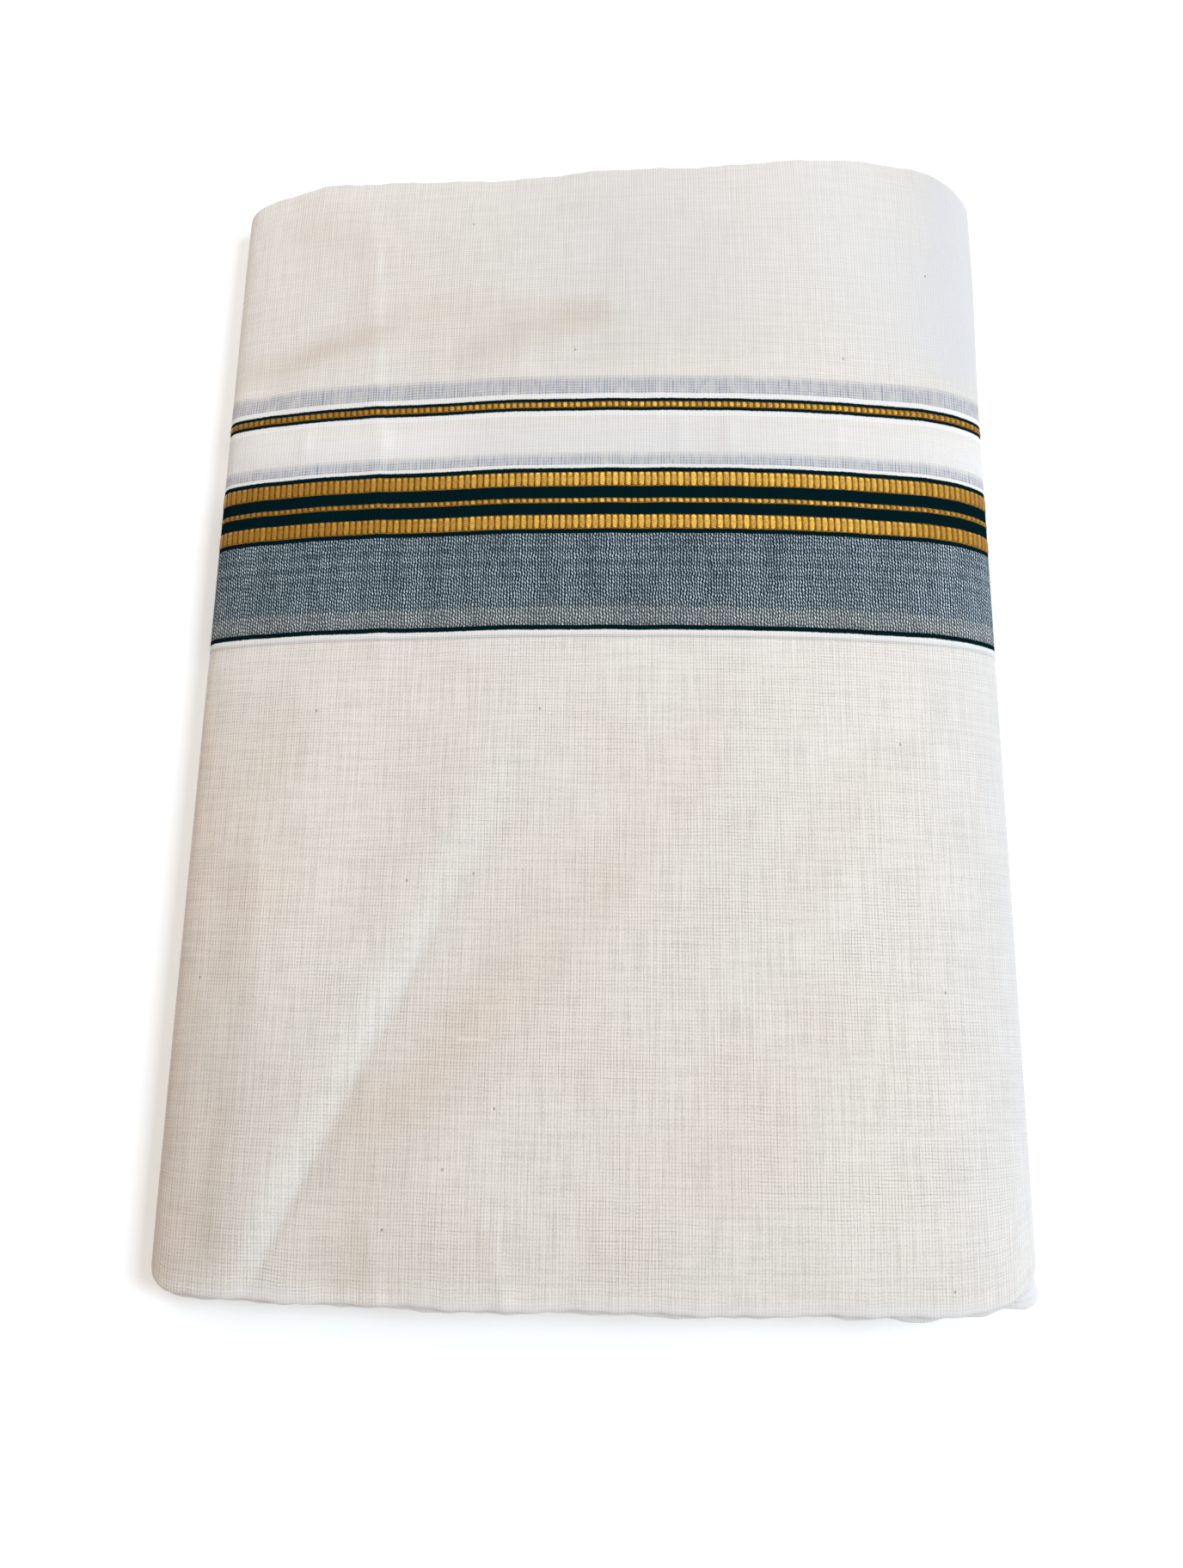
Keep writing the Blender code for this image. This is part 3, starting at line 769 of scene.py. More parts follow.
class NodeMaker:
    """Adds nodes to one tree, settings first and then values and links."""

    def __init__(self, tree):
        self.tree = tree

    def node(self, kind, settings=None, inputs=None, output=0):
        """Add a node and give back one of its outputs."""
        node = self.tree.nodes.new(kind)
        for key, value in (settings or {}).items():
            if key == "stops":
                self.set_stops(node.color_ramp, value)
            else:
                setattr(node, key, value)
        for key, value in (inputs or {}).items():
            self.feed(node.inputs[key], value)
        return Wire(self, node.outputs[output])

    def set_stops(self, ramp, stops):
        """Give a ramp its stops, each a place and a colour."""
        while len(ramp.elements) < len(stops):
            ramp.elements.new(0.5)
        for element, (place, colour) in zip(ramp.elements, stops):
            element.position = place
            element.color = colour

    def feed(self, socket, value):
        """Link a wire to a socket, or set the socket's own value."""
        if isinstance(value, Wire):
            self.tree.links.new(value.socket, socket)
        else:
            socket.default_value = value


class Finish(NodeMaker):
    """A cloth finish, worked out on the weave's UV map in millimetres."""

    def __init__(self, name):
        self.material = bpy.data.materials.new(name)
        self.material.use_nodes = True
        super().__init__(self.material.node_tree)
        self.shader = self.tree.nodes["Principled BSDF"]

    def weave_places(self):
        """Distances round and along the bundle, in millimetres."""
        uv = self.node("ShaderNodeUVMap", {"uv_map": "weave"})
        scaled = self.node("ShaderNodeVectorMath", {"operation": "SCALE"}, {0: uv, "Scale": 1 / MM})
        return (
            self.node("ShaderNodeSeparateXYZ", None, {0: scaled}, 0),
            self.node("ShaderNodeSeparateXYZ", None, {0: scaled}, 1),
        )

    def math(self, operation, first, second=0.0):
        """A Math node that has no sign of its own in Python."""
        return self.node("ShaderNodeMath", {"operation": operation}, {0: first, 1: second})

    def ramp(self, value, low, high):
        """Rise softly from 0 at low to 1 at high."""
        inputs = {"Value": value, "From Min": low, "From Max": high}
        return self.node("ShaderNodeMapRange", {"interpolation_type": "SMOOTHSTEP"}, inputs)

    def band(self, value, low, high, soft):
        """1 between low and high, with soft sides."""
        rise = self.ramp(value, low - soft, low + soft)
        return rise * (1 - self.ramp(value, high - soft, high + soft))

    def off(self, value, place):
        """How far a value lies from a place, either way."""
        return self.math("ABSOLUTE", value - place)

    def off_line(self, place):
        """How far a place lies from the middle between two whole numbers."""
        return self.off(self.math("FRACT", place), 0.5)

    def strongest(self, masks):
        """The strongest of several masks."""
        result = masks[0]
        for mask in masks[1:]:
            result = self.math("MAXIMUM", result, mask)
        return result

    def line_noise(self, value, scale, detail=1.0):
        """Noise along one direction, about 0.5."""
        inputs = {"W": value, "Scale": scale, "Detail": detail}
        return self.node("ShaderNodeTexNoise", {"noise_dimensions": "1D"}, inputs)

    def cloth_noise(self, across, along, scale, detail=2.0):
        """Noise over the cloth, about 0.5."""
        place = self.node("ShaderNodeCombineXYZ", None, {0: across, 1: along})
        inputs = {"Vector": place, "Scale": scale, "Detail": detail}
        return self.node("ShaderNodeTexNoise", {"noise_dimensions": "2D"}, inputs)

    def mix(self, share, first, second, blend="MIX"):
        """Mix two colours."""
        settings = {"data_type": "RGBA", "blend_type": blend}
        return self.node("ShaderNodeMix", settings, {0: share, 6: first, 7: second}, 2)

    def between(self, share, first, second):
        """Mix two numbers."""
        return self.node("ShaderNodeMix", {"data_type": "FLOAT"}, {0: share, 2: first, 3: second}, 0)

    def finish(self, colour, roughness, height, relief, metallic=0.0, sheen=0.04, shine=0.1):
        """Feed the shader, and set what is the same all over."""
        inputs = {"Strength": 1.0, "Distance": relief * MM, "Height": height}
        bump = self.node("ShaderNodeBump", None, inputs)
        for name, value in (
            ("Base Color", colour),
            ("Roughness", roughness),
            ("Metallic", metallic),
            ("Normal", bump),
            ("Specular IOR Level", shine),
            ("Sheen Weight", sheen),
            ("Sheen Roughness", 0.5),
        ):
            self.feed(self.shader.inputs[name], value)
        return self.material


def opaque(colour):
    """A colour with full alpha, for a socket."""
    return (colour[0], colour[1], colour[2], 1.0)


class CottonWeave:
    """Masks of plain cotton cloth: reed marks, picks, uneven threads, specks and slubs."""

    def __init__(self, finish, sizes, contrast, front_marks=True):
        self.contrast = contrast
        self.front_marks = front_marks
        self.across, self.along = across, along = finish.weave_places()
        long_drift = finish.cloth_noise(across, along, 0.03) * 0.5
        short_drift = finish.cloth_noise(across, along * 0.3, 0.4) * 0.35
        reed_place = across / sizes.reed_pitch + (long_drift + short_drift)
        self.reed = finish.ramp(finish.off_line(reed_place), REED_MARK.outer, REED_MARK.inner)
        long_sag = finish.cloth_noise(across, along, 0.05) * 0.9
        short_sag = finish.cloth_noise(across * 0.3, along, 0.4) * 0.6
        pick_place = along / sizes.pick_pitch + (long_sag + short_sag)
        self.pick = finish.ramp(finish.off_line(pick_place), PICK_MARK.outer, PICK_MARK.inner)
        self.warp = finish.cloth_noise(across, along * 0.05, 1.15)
        self.weft = finish.cloth_noise(across * 0.08, along, 0.85)
        self.open_patch = finish.cloth_noise(across, along, 0.035, 4.0)
        self.reed_line = self.own_strength(finish, reed_place, along)
        self.pick_line = self.own_strength(finish, pick_place, across)
        self.grain = finish.cloth_noise(across, along, 1.9, 1.0)
        self.cloud = finish.cloth_noise(across, along, 0.035, 3.0)
        self.warmth = finish.node("ShaderNodeAttribute", {"attribute_name": "warmth"}, None, 2)
        self.shade = finish.node("ShaderNodeAttribute", {"attribute_name": "shade"}, None, 2)

    def own_strength(self, finish, line_place, run):
        """Each line's own strength, which changes along its length."""
        line = finish.math("FLOOR", line_place) * LINE_CHANGE
        return finish.ramp(finish.cloth_noise(line, run * 0.17, 1.0, 1.0), 0.36, 0.66)

    def speck_mask(self, finish):
        """Small dark bits of seed husk in the yarn."""
        spots = []
        for mark in SPECKS:
            side = finish.off(self.across, place_round(mark.x))
            end = finish.off(self.along, mark.y)
            spots.append(finish.ramp(finish.math("MAXIMUM", side * 1.3, end), 0.50, 0.15))
        return finish.strongest(spots)

    def slub_mask(self, finish):
        """Thick places in the weft, as short pale lines."""
        lines = []
        for slub in SLUBS:
            side = finish.off(self.across, place_round(slub.x))
            end = finish.off(self.along, slub.y)
            length = finish.ramp(side, slub.length * 0.5, slub.length * 0.4)
            lines.append(length * finish.ramp(end, 0.5, 0.15))
        return finish.strongest(lines)

    def colour(self, finish, light, colours):
        """Cotton's colour from its pale thread, its warm streaks of tone and painted warm shade, its
        painted cool light, its painted shade and light, and the shade of its gaps.
        """
        tint_and_light = self.warmth * (0.6 + self.cloud * 0.8)
        warm_tone_and_shade_share = finish.math("MAXIMUM", tint_and_light + (self.cloud - 0.5) * 0.25, 0.0)
        cool_light_share = finish.math("MAXIMUM", 0.0, 0.0 - tint_and_light)
        base = finish.mix(warm_tone_and_shade_share, opaque(light), opaque(colours.warm_shaded_cotton))
        base = finish.mix(cool_light_share, base, opaque(colours.cool_lit_cotton))
        # Painted shade darkens the cotton and painted light lightens it
        shade = 1 - self.shade * SHADE_STRENGTH
        grey = finish.node("ShaderNodeCombineColor", None, {0: shade, 1: shade, 2: shade})
        base = finish.mix(1.0, base, grey, "MULTIPLY")
        gap_share = self.gap_share(finish, warm_tone_and_shade_share, cool_light_share)
        cotton = finish.mix(gap_share, base, opaque(colours.cotton_gap))
        if self.front_marks:
            cotton = finish.mix(self.slub_mask(finish) * SLUB_STRENGTH, cotton, opaque(light))
            cotton = finish.mix(self.speck_mask(finish) * SPECK_STRENGTH, cotton, SPECK_COLOUR)
        return cotton

    def gap_share(self, finish, warm_tone_and_shade_share, cool_light_share):
        """How much shade the gaps between the threads show, with the threads' own uneven tone; the
        weave fades where the cotton is painted in cool light.
        """
        patch = finish.ramp(self.open_patch, 0.36, 0.68)
        reed = self.mark_share(self.reed, self.reed_line, patch, REED_MARK)
        picks_show = 1 - finish.math("MINIMUM", warm_tone_and_shade_share, 1.0) * 0.6
        pick = self.mark_share(self.pick, self.pick_line, patch, PICK_MARK) * picks_show
        holes = self.reed * self.pick * (0.05 + patch * 0.20)
        threads = (self.warp - 0.5) * WARP_TONE + (self.weft - 0.5) * WEFT_TONE
        threads = threads + (self.grain - 0.5) * GRAIN_TONE
        clear = finish.math("MAXIMUM", 1 - cool_light_share * 1.1, 0.12) * self.contrast
        return finish.math("MAXIMUM", (reed + pick + holes + threads) * clear + 0.15, 0.0)

    def height(self):
        """Relief of the threads, from 0 to about 1."""
        threads = 0.5 + (self.warp - 0.5) * WARP_RELIEF + (self.weft - 0.5) * WEFT_RELIEF
        return threads - self.reed * REED_RELIEF - self.pick * PICK_RELIEF

    def mark_share(self, mark, own_strength, patch, look):
        """How much darker or lighter the reed's or the picks' marks make the cotton."""
        return (mark - MARK_MIDDLE) * (look.least + own_strength * (look.own + patch * look.open))

    def roughness(self):
        """Matt cotton, a little uneven along its warp."""
        return 0.82 + (self.warp - 0.5) * 0.15


def plain_cotton(name, sizes, colours, light, front_marks):
    """Plain woven cotton."""
    finish = Finish(name)
    weave = CottonWeave(finish, sizes, 1.0 if front_marks else 0.25, front_marks)
    colour = weave.colour(finish, light, colours)
    return finish.finish(colour, weave.roughness(), weave.height(), 0.12)


def stripe_masks(finish, weave, rib_swell):
    """A mask for each kind of stripe, whose edges sway a little and follow the gold ribs."""
    long_sway = (finish.line_noise(weave.across, 0.06) - 0.5) * 0.5
    short_sway = (finish.line_noise(weave.across, 0.9) - 0.5) * 0.22
    edge = weave.along + (long_sway + short_sway)
    ribbed_edge = edge + (rib_swell - 0.6) * 0.12
    masks = {}
    for stripe in STRIPES:
        place = ribbed_edge if stripe.weave in RIB_STYLES else edge
        mask = finish.band(place, stripe.low, stripe.high, STRIPE_SOFTNESS)
        if stripe.weave == "ghost":
            mask = mask * (0.35 + finish.ramp(place, stripe.high, stripe.high - 2.0) * 0.65)
        masks[stripe.weave] = mask if stripe.weave not in masks else masks[stripe.weave] + mask
    return masks


def ghost_threads(finish, weave):
    """How much of the grey threads shows in the thin bands beside the borders."""
    place = weave.across / GHOST_PITCH + finish.line_noise(weave.across, 0.4) * 1.4
    line = finish.ramp(finish.off_line(place), 0.30, 0.08)
    uneven = finish.ramp(finish.cloth_noise(weave.across, weave.along * 0.4, 0.5), 0.3, 0.65)
    return (0.34 + line * (0.10 + uneven * 0.46)) * (0.75 + weave.pick * 0.35)


def chambray_weave(finish, weave, colours):
    """The blue-grey band's colour, and its white dashes, which stand in wavy columns and are painted
    brighter towards the right as painted light.
    """
    across, along = weave.across, weave.along
    column = across / DASH_COLUMN + finish.cloth_noise(across * 0.6, along, 0.45) * 1.3
    number = finish.math("FLOOR", column)
    own = number * LINE_CHANGE
    half_step = finish.math("MODULO", number, 2.0) * 0.5
    row = along / DASH_ROW + half_step + finish.line_noise(own, 1.0) * 1.2
    row_side = finish.math("FRACT", row) - 0.5
    side = (finish.math("FRACT", column) - 0.5 + row_side * DASH_SLANT) / DASH_HALF_WIDTH
    end = row_side / DASH_HALF_LENGTH
    dash = finish.ramp(side * side + end * end, 1.15, 0.45)
    dash_noise = finish.cloth_noise(own, finish.math("FLOOR", row) * LINE_CHANGE, 1.0, 1.0)
    own_share = finish.ramp(dash_noise, 0.34, 0.66)
    worn = finish.ramp(finish.cloth_noise(across, along * 0.22, 0.16, 3.0), 0.36, 0.66)
    rows = finish.ramp(finish.line_noise(along, 0.5, 2.0), 0.36, 0.6)
    painted_light_to_right = finish.ramp(across, place_round(30.0), place_round(110.0))
    lit = DASH_LIGHT.least + own_share * DASH_LIGHT.own + worn * DASH_LIGHT.worn
    lit = lit + rows * DASH_LIGHT.rows + painted_light_to_right * DASH_LIGHT.right
    dash_share = dash * finish.math("MINIMUM", lit, 1.0)
    pale_share = finish.ramp(along + (worn - 0.5) * 1.2, PALE_FROM, PALE_FULL)
    dash_colour = finish.mix(pale_share, opaque(colours.chambray_dash), opaque(colours.pale_dash))
    ground = opaque(colours.chambray_ground)
    return finish.mix(dash_share + pale_share * 0.05, ground, dash_colour), dash


def bordered_cotton(name, sizes, colours):
    """Plain woven cotton with the woven border stripes."""
    finish = Finish(name)
    weave = CottonWeave(finish, sizes, 0.55)
    rib_place = finish.math("FRACT", weave.across / sizes.rib_pitch)
    rib_swell = finish.math("SINE", rib_place * math.pi)
    masks = stripe_masks(finish, weave, rib_swell)
    gold_mask = finish.math("MINIMUM", masks["gold"] + masks["bead"], 1.0)

    cotton = weave.colour(finish, colours.cotton, colours)
    bright_share = masks["bright"] * 0.55 + masks["listing"] * 0.6
    colour = finish.mix(bright_share, cotton, opaque(colours.bright_cotton))
    ghost_share = masks["ghost"] * ghost_threads(finish, weave)
    colour = finish.mix(ghost_share, colour, opaque(colours.ghost_thread))

    # Each cord of the dark stripes is painted light on its crown and painted shade at its sides,
    # between the green in shade and the green in light
    cord = finish.math("ABSOLUTE", finish.math("SINE", weave.across * (math.pi / CORD_PITCH)))
    dark = finish.mix(cord * 0.5, opaque(colours.green_in_shade), opaque(colours.green_light))
    stripe_mask = finish.math("MINIMUM", masks["dark"] + gold_mask + masks["chambray"], 1.0)
    colour = finish.mix(stripe_mask, colour, dark)
    chambray, dash = chambray_weave(finish, weave, colours)
    colour = finish.mix(masks["chambray"], colour, chambray)
    # The gold ground is painted in shade between the ribs
    gold_ground = finish.mix(rib_swell, opaque(colours.gold_gap), opaque(colours.gold))
    colour = finish.mix(gold_mask, colour, gold_ground)

    height = weave.height() * (1 - masks["chambray"]) + dash * masks["chambray"] * 0.8
    height = height + masks["dark"] * (0.2 + cord * 0.5) + gold_mask * rib_swell
    roughness = finish.between(gold_mask, weave.roughness(), 0.45)
    return finish.finish(
        colour, roughness, height, 0.14, metallic=gold_mask * 0.35, sheen=0.0, shine=0.0
    )


def gold_yarn(name, colours):
    """Flat gold yarn wrapped over raised ribs, each with its own tone, mixed between the gold in
    painted shade and in painted light.
    """
    finish = Finish(name)
    place = finish.node("ShaderNodeTexCoord", None, None, 3)
    x = finish.node("ShaderNodeSeparateXYZ", None, {0: place}, 0) / MM
    y = finish.node("ShaderNodeSeparateXYZ", None, {0: place}, 1) / MM
    tone = finish.node("ShaderNodeAttribute", {"attribute_name": "tone"}, None, 2)
    turn = finish.math("ABSOLUTE", finish.math("SINE", y * 5.2 + x * 1.4))
    wear_and_glints = finish.cloth_noise(x, y, 1.1, 3.0)
    # Painted highlights on the upper ends of the wide stripes' ribs
    tip_highlights = 0.0
    for stripe in STRIPES:
        if stripe.weave == "gold":
            upper_part = finish.ramp(y, stripe.high - 1.1, stripe.high - 0.1)
            tip_highlights = tip_highlights + upper_part * finish.ramp(y, stripe.high + 2.0, stripe.high + 1.0)
    # Painted shade on the sides of each rib, by the place across it stored on the rib
    aside = finish.node("ShaderNodeAttribute", {"attribute_name": "aside"}, None, 2)
    body = 1 - finish.ramp(aside, 0.40, 1.0) * 0.62
    # How far the yarn is painted towards the gold in light: by the rib's tone, its painted shade at the
    # sides, the wrap lines, its wear and glints, and the tip highlights
    light = finish.math("MINIMUM", tone * body * (0.10 + turn * 0.20 + wear_and_glints * 0.75 + tip_highlights * 0.55), 1.0)
    colour = finish.mix(light, opaque(colours.gold_shade), opaque(colours.gold_light))
    height = turn * 0.7 + wear_and_glints * 0.3
    return finish.finish(colour, 0.40 + wear_and_glints * 0.2, height, 0.1, metallic=0.45, sheen=0.0)


# Making pieces


def show(mesh, material, slot, *nodes):
    """Put a mesh on the body as a piece, in place of the nodes it stands for."""
    mesh.materials.clear()
    mesh.materials.append(material)
    piece = bpy.data.objects.new(mesh.name, mesh)
    bpy.context.scene.collection.objects.link(piece)
    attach(piece, "root")
    if nodes:
        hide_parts(*nodes)
    return piece


def thicken(piece, thickness):
    """Give cloth its thickness, inwards from its outer face."""
    wall = piece.modifiers.new("Thickness", "SOLIDIFY")
    wall.thickness = thickness * MM
    wall.offset = -1.0
    wall.use_even_offset = False
    wall.use_rim = True


def face_outwards(mesh):
    """Turn the faces of a tube of cloth so that its outer face looks out."""
    middle = len(mesh.polygons) // 3
    face = mesh.polygons[middle]
    if face.normal.dot(face.center) < 0:
        mesh.flip_normals()


def cloth_piece(name, points, along, material, slot, node, thickness, tinted_and_shaded=True):
    """Make a ply of cloth that goes round the bundle, from its grid of points."""
    mesh = sheet_mesh(name, points, along, cloth_places())
    face_outwards(mesh)
    if tinted_and_shaded:
        tint_and_shade_cloth(mesh, points)
    piece = show(mesh, material, slot, node)
    thicken(piece, thickness)
    return piece


def flat_size(path):
    """A ply's flat size in metres: the way round the bundle, and the way along its path."""
    return float(cloth_places()[-1]) * MM, float(path_lengths(path, 0.0)[-1]) * MM


def nodes_result(source, name):
    """Turn the evaluated result of an object's nodes into a plain mesh, and drop the source."""
    graph = bpy.context.evaluated_depsgraph_get()
    mesh = bpy.data.meshes.new_from_object(source.evaluated_get(graph), depsgraph=graph)
    mesh.name = name
    bpy.data.objects.remove(source, do_unlink=True)
    return mesh


def points_object(name, points, edges=(), values=None):
    """An object of loose points or lines, with numbers or vectors stored on its points."""
    mesh = bpy.data.meshes.new(name)
    mesh.from_pydata([tuple(point) for point in points], list(edges), [])
    for key, column in (values or {}).items():
        column = np.array(column, np.float32)
        kind, field = ("FLOAT_VECTOR", "vector") if column.ndim == 2 else ("FLOAT", "value")
        mesh.attributes.new(key, kind, "POINT").data.foreach_set(field, column.ravel())
    source = bpy.data.objects.new(name, mesh)
    bpy.context.scene.collection.objects.link(source)
    return source


def new_recipe(name, inputs):
    """A tree of geometry nodes with named inputs, its maker and its input wires."""
    tree = bpy.data.node_groups.new(name, "GeometryNodeTree")
    tree.interface.new_socket(name="Geometry", in_out="INPUT", socket_type="NodeSocketGeometry")
    for label, kind in inputs:
        tree.interface.new_socket(name=label, in_out="INPUT", socket_type=kind)
    tree.interface.new_socket(name="Geometry", in_out="OUTPUT", socket_type="NodeSocketGeometry")
    maker = NodeMaker(tree)
    start = tree.nodes.new("NodeGroupInput")
    wires = {socket.name: Wire(maker, socket) for socket in start.outputs if socket.name}
    return tree, maker, wires


def end_recipe(maker, geometry, material):
    """Make instances real, give them their material and end the tree."""
    real = maker.node("GeometryNodeRealizeInstances", None, {"Geometry": geometry})
    smooth = maker.node("GeometryNodeSetShadeSmooth", None, {"Geometry": real})
    dressed = maker.node("GeometryNodeSetMaterial", None, {"Geometry": smooth, "Material": material})
    end = maker.tree.nodes.new("NodeGroupOutput")
    maker.feed(end.inputs[0], dressed)


def use_recipe(source, tree, values):
    """Put a tree on an object and set its named inputs by their identifiers."""
    modifier = source.modifiers.new(tree.name, "NODES")
    modifier.node_group = tree
    for socket in tree.interface.items_tree:
        if socket.in_out == "INPUT" and socket.name in values:
            modifier[socket.identifier] = values[socket.name]


def rib_recipe():
    """Raised ribs on points: each a low rounded bar that lies along the cloth."""
    tree, maker, wires = new_recipe("raised_ribs", (
        ("Rib Width", "NodeSocketFloat"),
        ("Rib Height", "NodeSocketFloat"),
        ("Unevenness", "NodeSocketFloat"),
        ("Seed", "NodeSocketInt"),
        ("Yarn", "NodeSocketMaterial"),
    ))
    ball_form = {"Segments": RIB_SEGMENTS, "Rings": RIB_RINGS, "Radius": 1.0}
    ball = maker.node("GeometryNodeMeshUVSphere", None, ball_form)
    place = maker.node("GeometryNodeInputPosition")
    parts = [maker.node("ShaderNodeSeparateXYZ", None, {0: place}, axis) for axis in range(3)]
    reach = maker.node("ShaderNodeMath", {"operation": "ABSOLUTE"}, {0: parts[1]}) ** RIB_SQUARENESS
    sign = maker.node("ShaderNodeMath", {"operation": "SIGN"}, {0: parts[1]})
    squared = maker.node("ShaderNodeCombineXYZ", None, {0: parts[0], 1: reach * sign, 2: parts[2]})
    aside = maker.node("ShaderNodeMath", {"operation": "ABSOLUTE"}, {0: parts[0]})
    marks = {"Geometry": ball, "Name": "aside", "Value": aside}
    ball = maker.node("GeometryNodeStoreNamedAttribute", None, marks)
    bar = maker.node("GeometryNodeSetPosition", None, {"Geometry": ball, "Position": squared})
    size = maker.node("ShaderNodeCombineXYZ", None, {
        0: wires["Rib Width"] * 0.5,
        1: 0.5,
        2: wires["Rib Height"],
    })
    bar = maker.node("GeometryNodeTransform", None, {"Geometry": bar, "Scale": size})
    outward, along, stretch = (
        maker.node("GeometryNodeInputNamedAttribute", {"data_type": "FLOAT_VECTOR"}, {"Name": key})
        for key in ("outward", "along", "stretch")
    )
    facing = maker.node(
        "FunctionNodeAxesToRotation",
        {"primary_axis": "Z", "secondary_axis": "Y"},
        {"Primary Axis": outward, "Secondary Axis": along},
    )
    swell = maker.node("FunctionNodeRandomValue", {"data_type": "FLOAT"}, {
        2: 1 - wires["Unevenness"],
        3: 1 + wires["Unevenness"],
        "Seed": wires["Seed"],
    }, 1)
    scale = maker.node("ShaderNodeVectorMath", {"operation": "SCALE"}, {0: stretch, "Scale": swell})
    ribs = maker.node("GeometryNodeInstanceOnPoints", None, {
        "Points": wires["Geometry"],
        "Instance": bar,
        "Rotation": facing,
        "Scale": scale,
    })
    end_recipe(maker, ribs, wires["Yarn"])
    return tree


def fold_recipe():
    """Rounded folds of plies that follow lines, a little uneven along their length."""
    tree, maker, wires = new_recipe("ply_folds", (
        ("Fold Radius", "NodeSocketFloat"),
        ("Unevenness", "NodeSocketFloat"),
        ("Cloth", "NodeSocketMaterial"),
    ))
    lines = maker.node("GeometryNodeMeshToCurve", None, {"Mesh": wires["Geometry"]})
    round_form = {"Resolution": 8, "Radius": wires["Fold Radius"]}
    outline = maker.node("GeometryNodeCurvePrimitiveCircle", None, round_form)
    folds = maker.node("GeometryNodeCurveToMesh", None, {"Curve": lines, "Profile Curve": outline})
    wave = maker.node("ShaderNodeTexNoise", None, {"Scale": PLY_FOLD_WAVES, "Detail": 1.0}, 1)
    middle = (0.5, 0.5, 0.5)
    centred = maker.node("ShaderNodeVectorMath", {"operation": "SUBTRACT"}, {0: wave, 1: middle})
    push = {0: centred, "Scale": wires["Unevenness"]}
    moved = maker.node("ShaderNodeVectorMath", {"operation": "SCALE"}, push)
    uneven = maker.node("GeometryNodeSetPosition", None, {"Geometry": folds, "Offset": moved})
    end_recipe(maker, uneven, wires["Cloth"])
    return tree


# Settings a user would change


class DhotiSizes(bpy.types.PropertyGroup):
    """Sizes of the cloth, in millimetres unless the name says otherwise."""

    ply_thickness: bpy.props.FloatProperty(
        name="Ply thickness",
        description="Thickness of one pressed ply of cotton, in millimetres",
        default=0.35,
        min=0.1,
        max=1.0,
    )
    fold_radius: bpy.props.FloatProperty(
        name="Fold radius",
        description="Outer radius of the outer turn's folded edges, in millimetres",
        default=0.95,
        min=0.6,
        max=2.0,
    )
    selvage_step: bpy.props.FloatProperty(
        name="Selvage step",
        description="How far the plain ply lies below the border ply at its selvage, in millimetres",
        default=0.15,
        min=0.1,
        max=1.3,
    )
    reed_pitch: bpy.props.FloatProperty(
        name="Reed pitch",
        description="Distance between reed marks across the cloth, in millimetres",
        default=0.81,
        min=0.3,
        max=2.0,
    )
    pick_pitch: bpy.props.FloatProperty(
        name="Pick pitch",
        description="Distance between the marks of the weft along the bundle, in millimetres",
        default=0.86,
        min=0.3,
        max=2.0,
    )
    rib_pitch: bpy.props.FloatProperty(
        name="Rib pitch",
        description="Distance between the raised ribs of the gold stripes, in millimetres",
        default=1.83,
        min=0.8,
        max=4.0,
    )
    rib_height: bpy.props.FloatProperty(
        name="Rib height",
        description="How far the gold ribs stand up from the cloth, in millimetres",
        default=0.15,
        min=0.05,
        max=0.5,
    )
    inner_folds: bpy.props.IntProperty(
        name="Inner folds",
        description="Number of folded plies that show at each end inside the outer turns",
        default=12,
        min=3,
        max=16,
    )


def colour_property(name, description, default):
    """A colour that the panel shows."""
    return bpy.props.FloatVectorProperty(
        name=name, description=description, default=default, subtype="COLOR", size=3, min=0.0, max=1.0
    )


class DhotiColours(bpy.types.PropertyGroup):
    """Colours of the yarns; the green and the gold each come in painted light and in painted shade."""

    cotton: colour_property("Cotton", "Plain white cotton", (0.74, 0.70, 0.66))
    # The warm cotton is the cotton's warmer tone and its painted warm shade; the cool cotton is its
    # painted cool light
    warm_shaded_cotton: colour_property("Warm cotton", "Cotton in its warmer streaks", (0.69, 0.60, 0.535))
    cool_lit_cotton: colour_property("Cool cotton", "Cotton in its cooler streaks", (0.725, 0.715, 0.735))
    inner_cotton: colour_property("Inner cotton", "Cotton of the inner turns", (0.75, 0.74, 0.75))
    bright_cotton: colour_property("Bright cotton", "Weave beside the stripes", (0.77, 0.77, 0.79))
    cotton_gap: colour_property("Gaps", "Shade between the threads", (0.25, 0.225, 0.20))
    ghost_thread: colour_property("Grey threads", "Thin bands beside the borders", (0.15, 0.19, 0.28))
    green_in_shade: colour_property("Dark green", "Green yarn in shade", (0.0009, 0.007, 0.009))
    green_light: colour_property("Green", "Green yarn in light", (0.0022, 0.016, 0.020))
    gold: colour_property("Gold", "Gold yarn", (0.34, 0.16, 0.010))
    gold_light: colour_property("Light gold", "Gold yarn in light", (1.0, 0.63, 0.13))
    gold_shade: colour_property("Shaded gold", "Gold yarn in shade", (0.20, 0.068, 0.003))
    gold_gap: colour_property("Gold gaps", "Shade between the gold ribs", (0.12, 0.042, 0.003))
    chambray_ground: colour_property("Blue-grey band", "Its dark yarn", (0.006, 0.017, 0.028))
    chambray_dash: colour_property("Band's dashes", "White yarn in that band", (0.60, 0.70, 0.77))
    pale_dash: colour_property("Paler dashes", "White yarn at its lower edge", (0.68, 0.71, 0.70))


# One operator for each piece


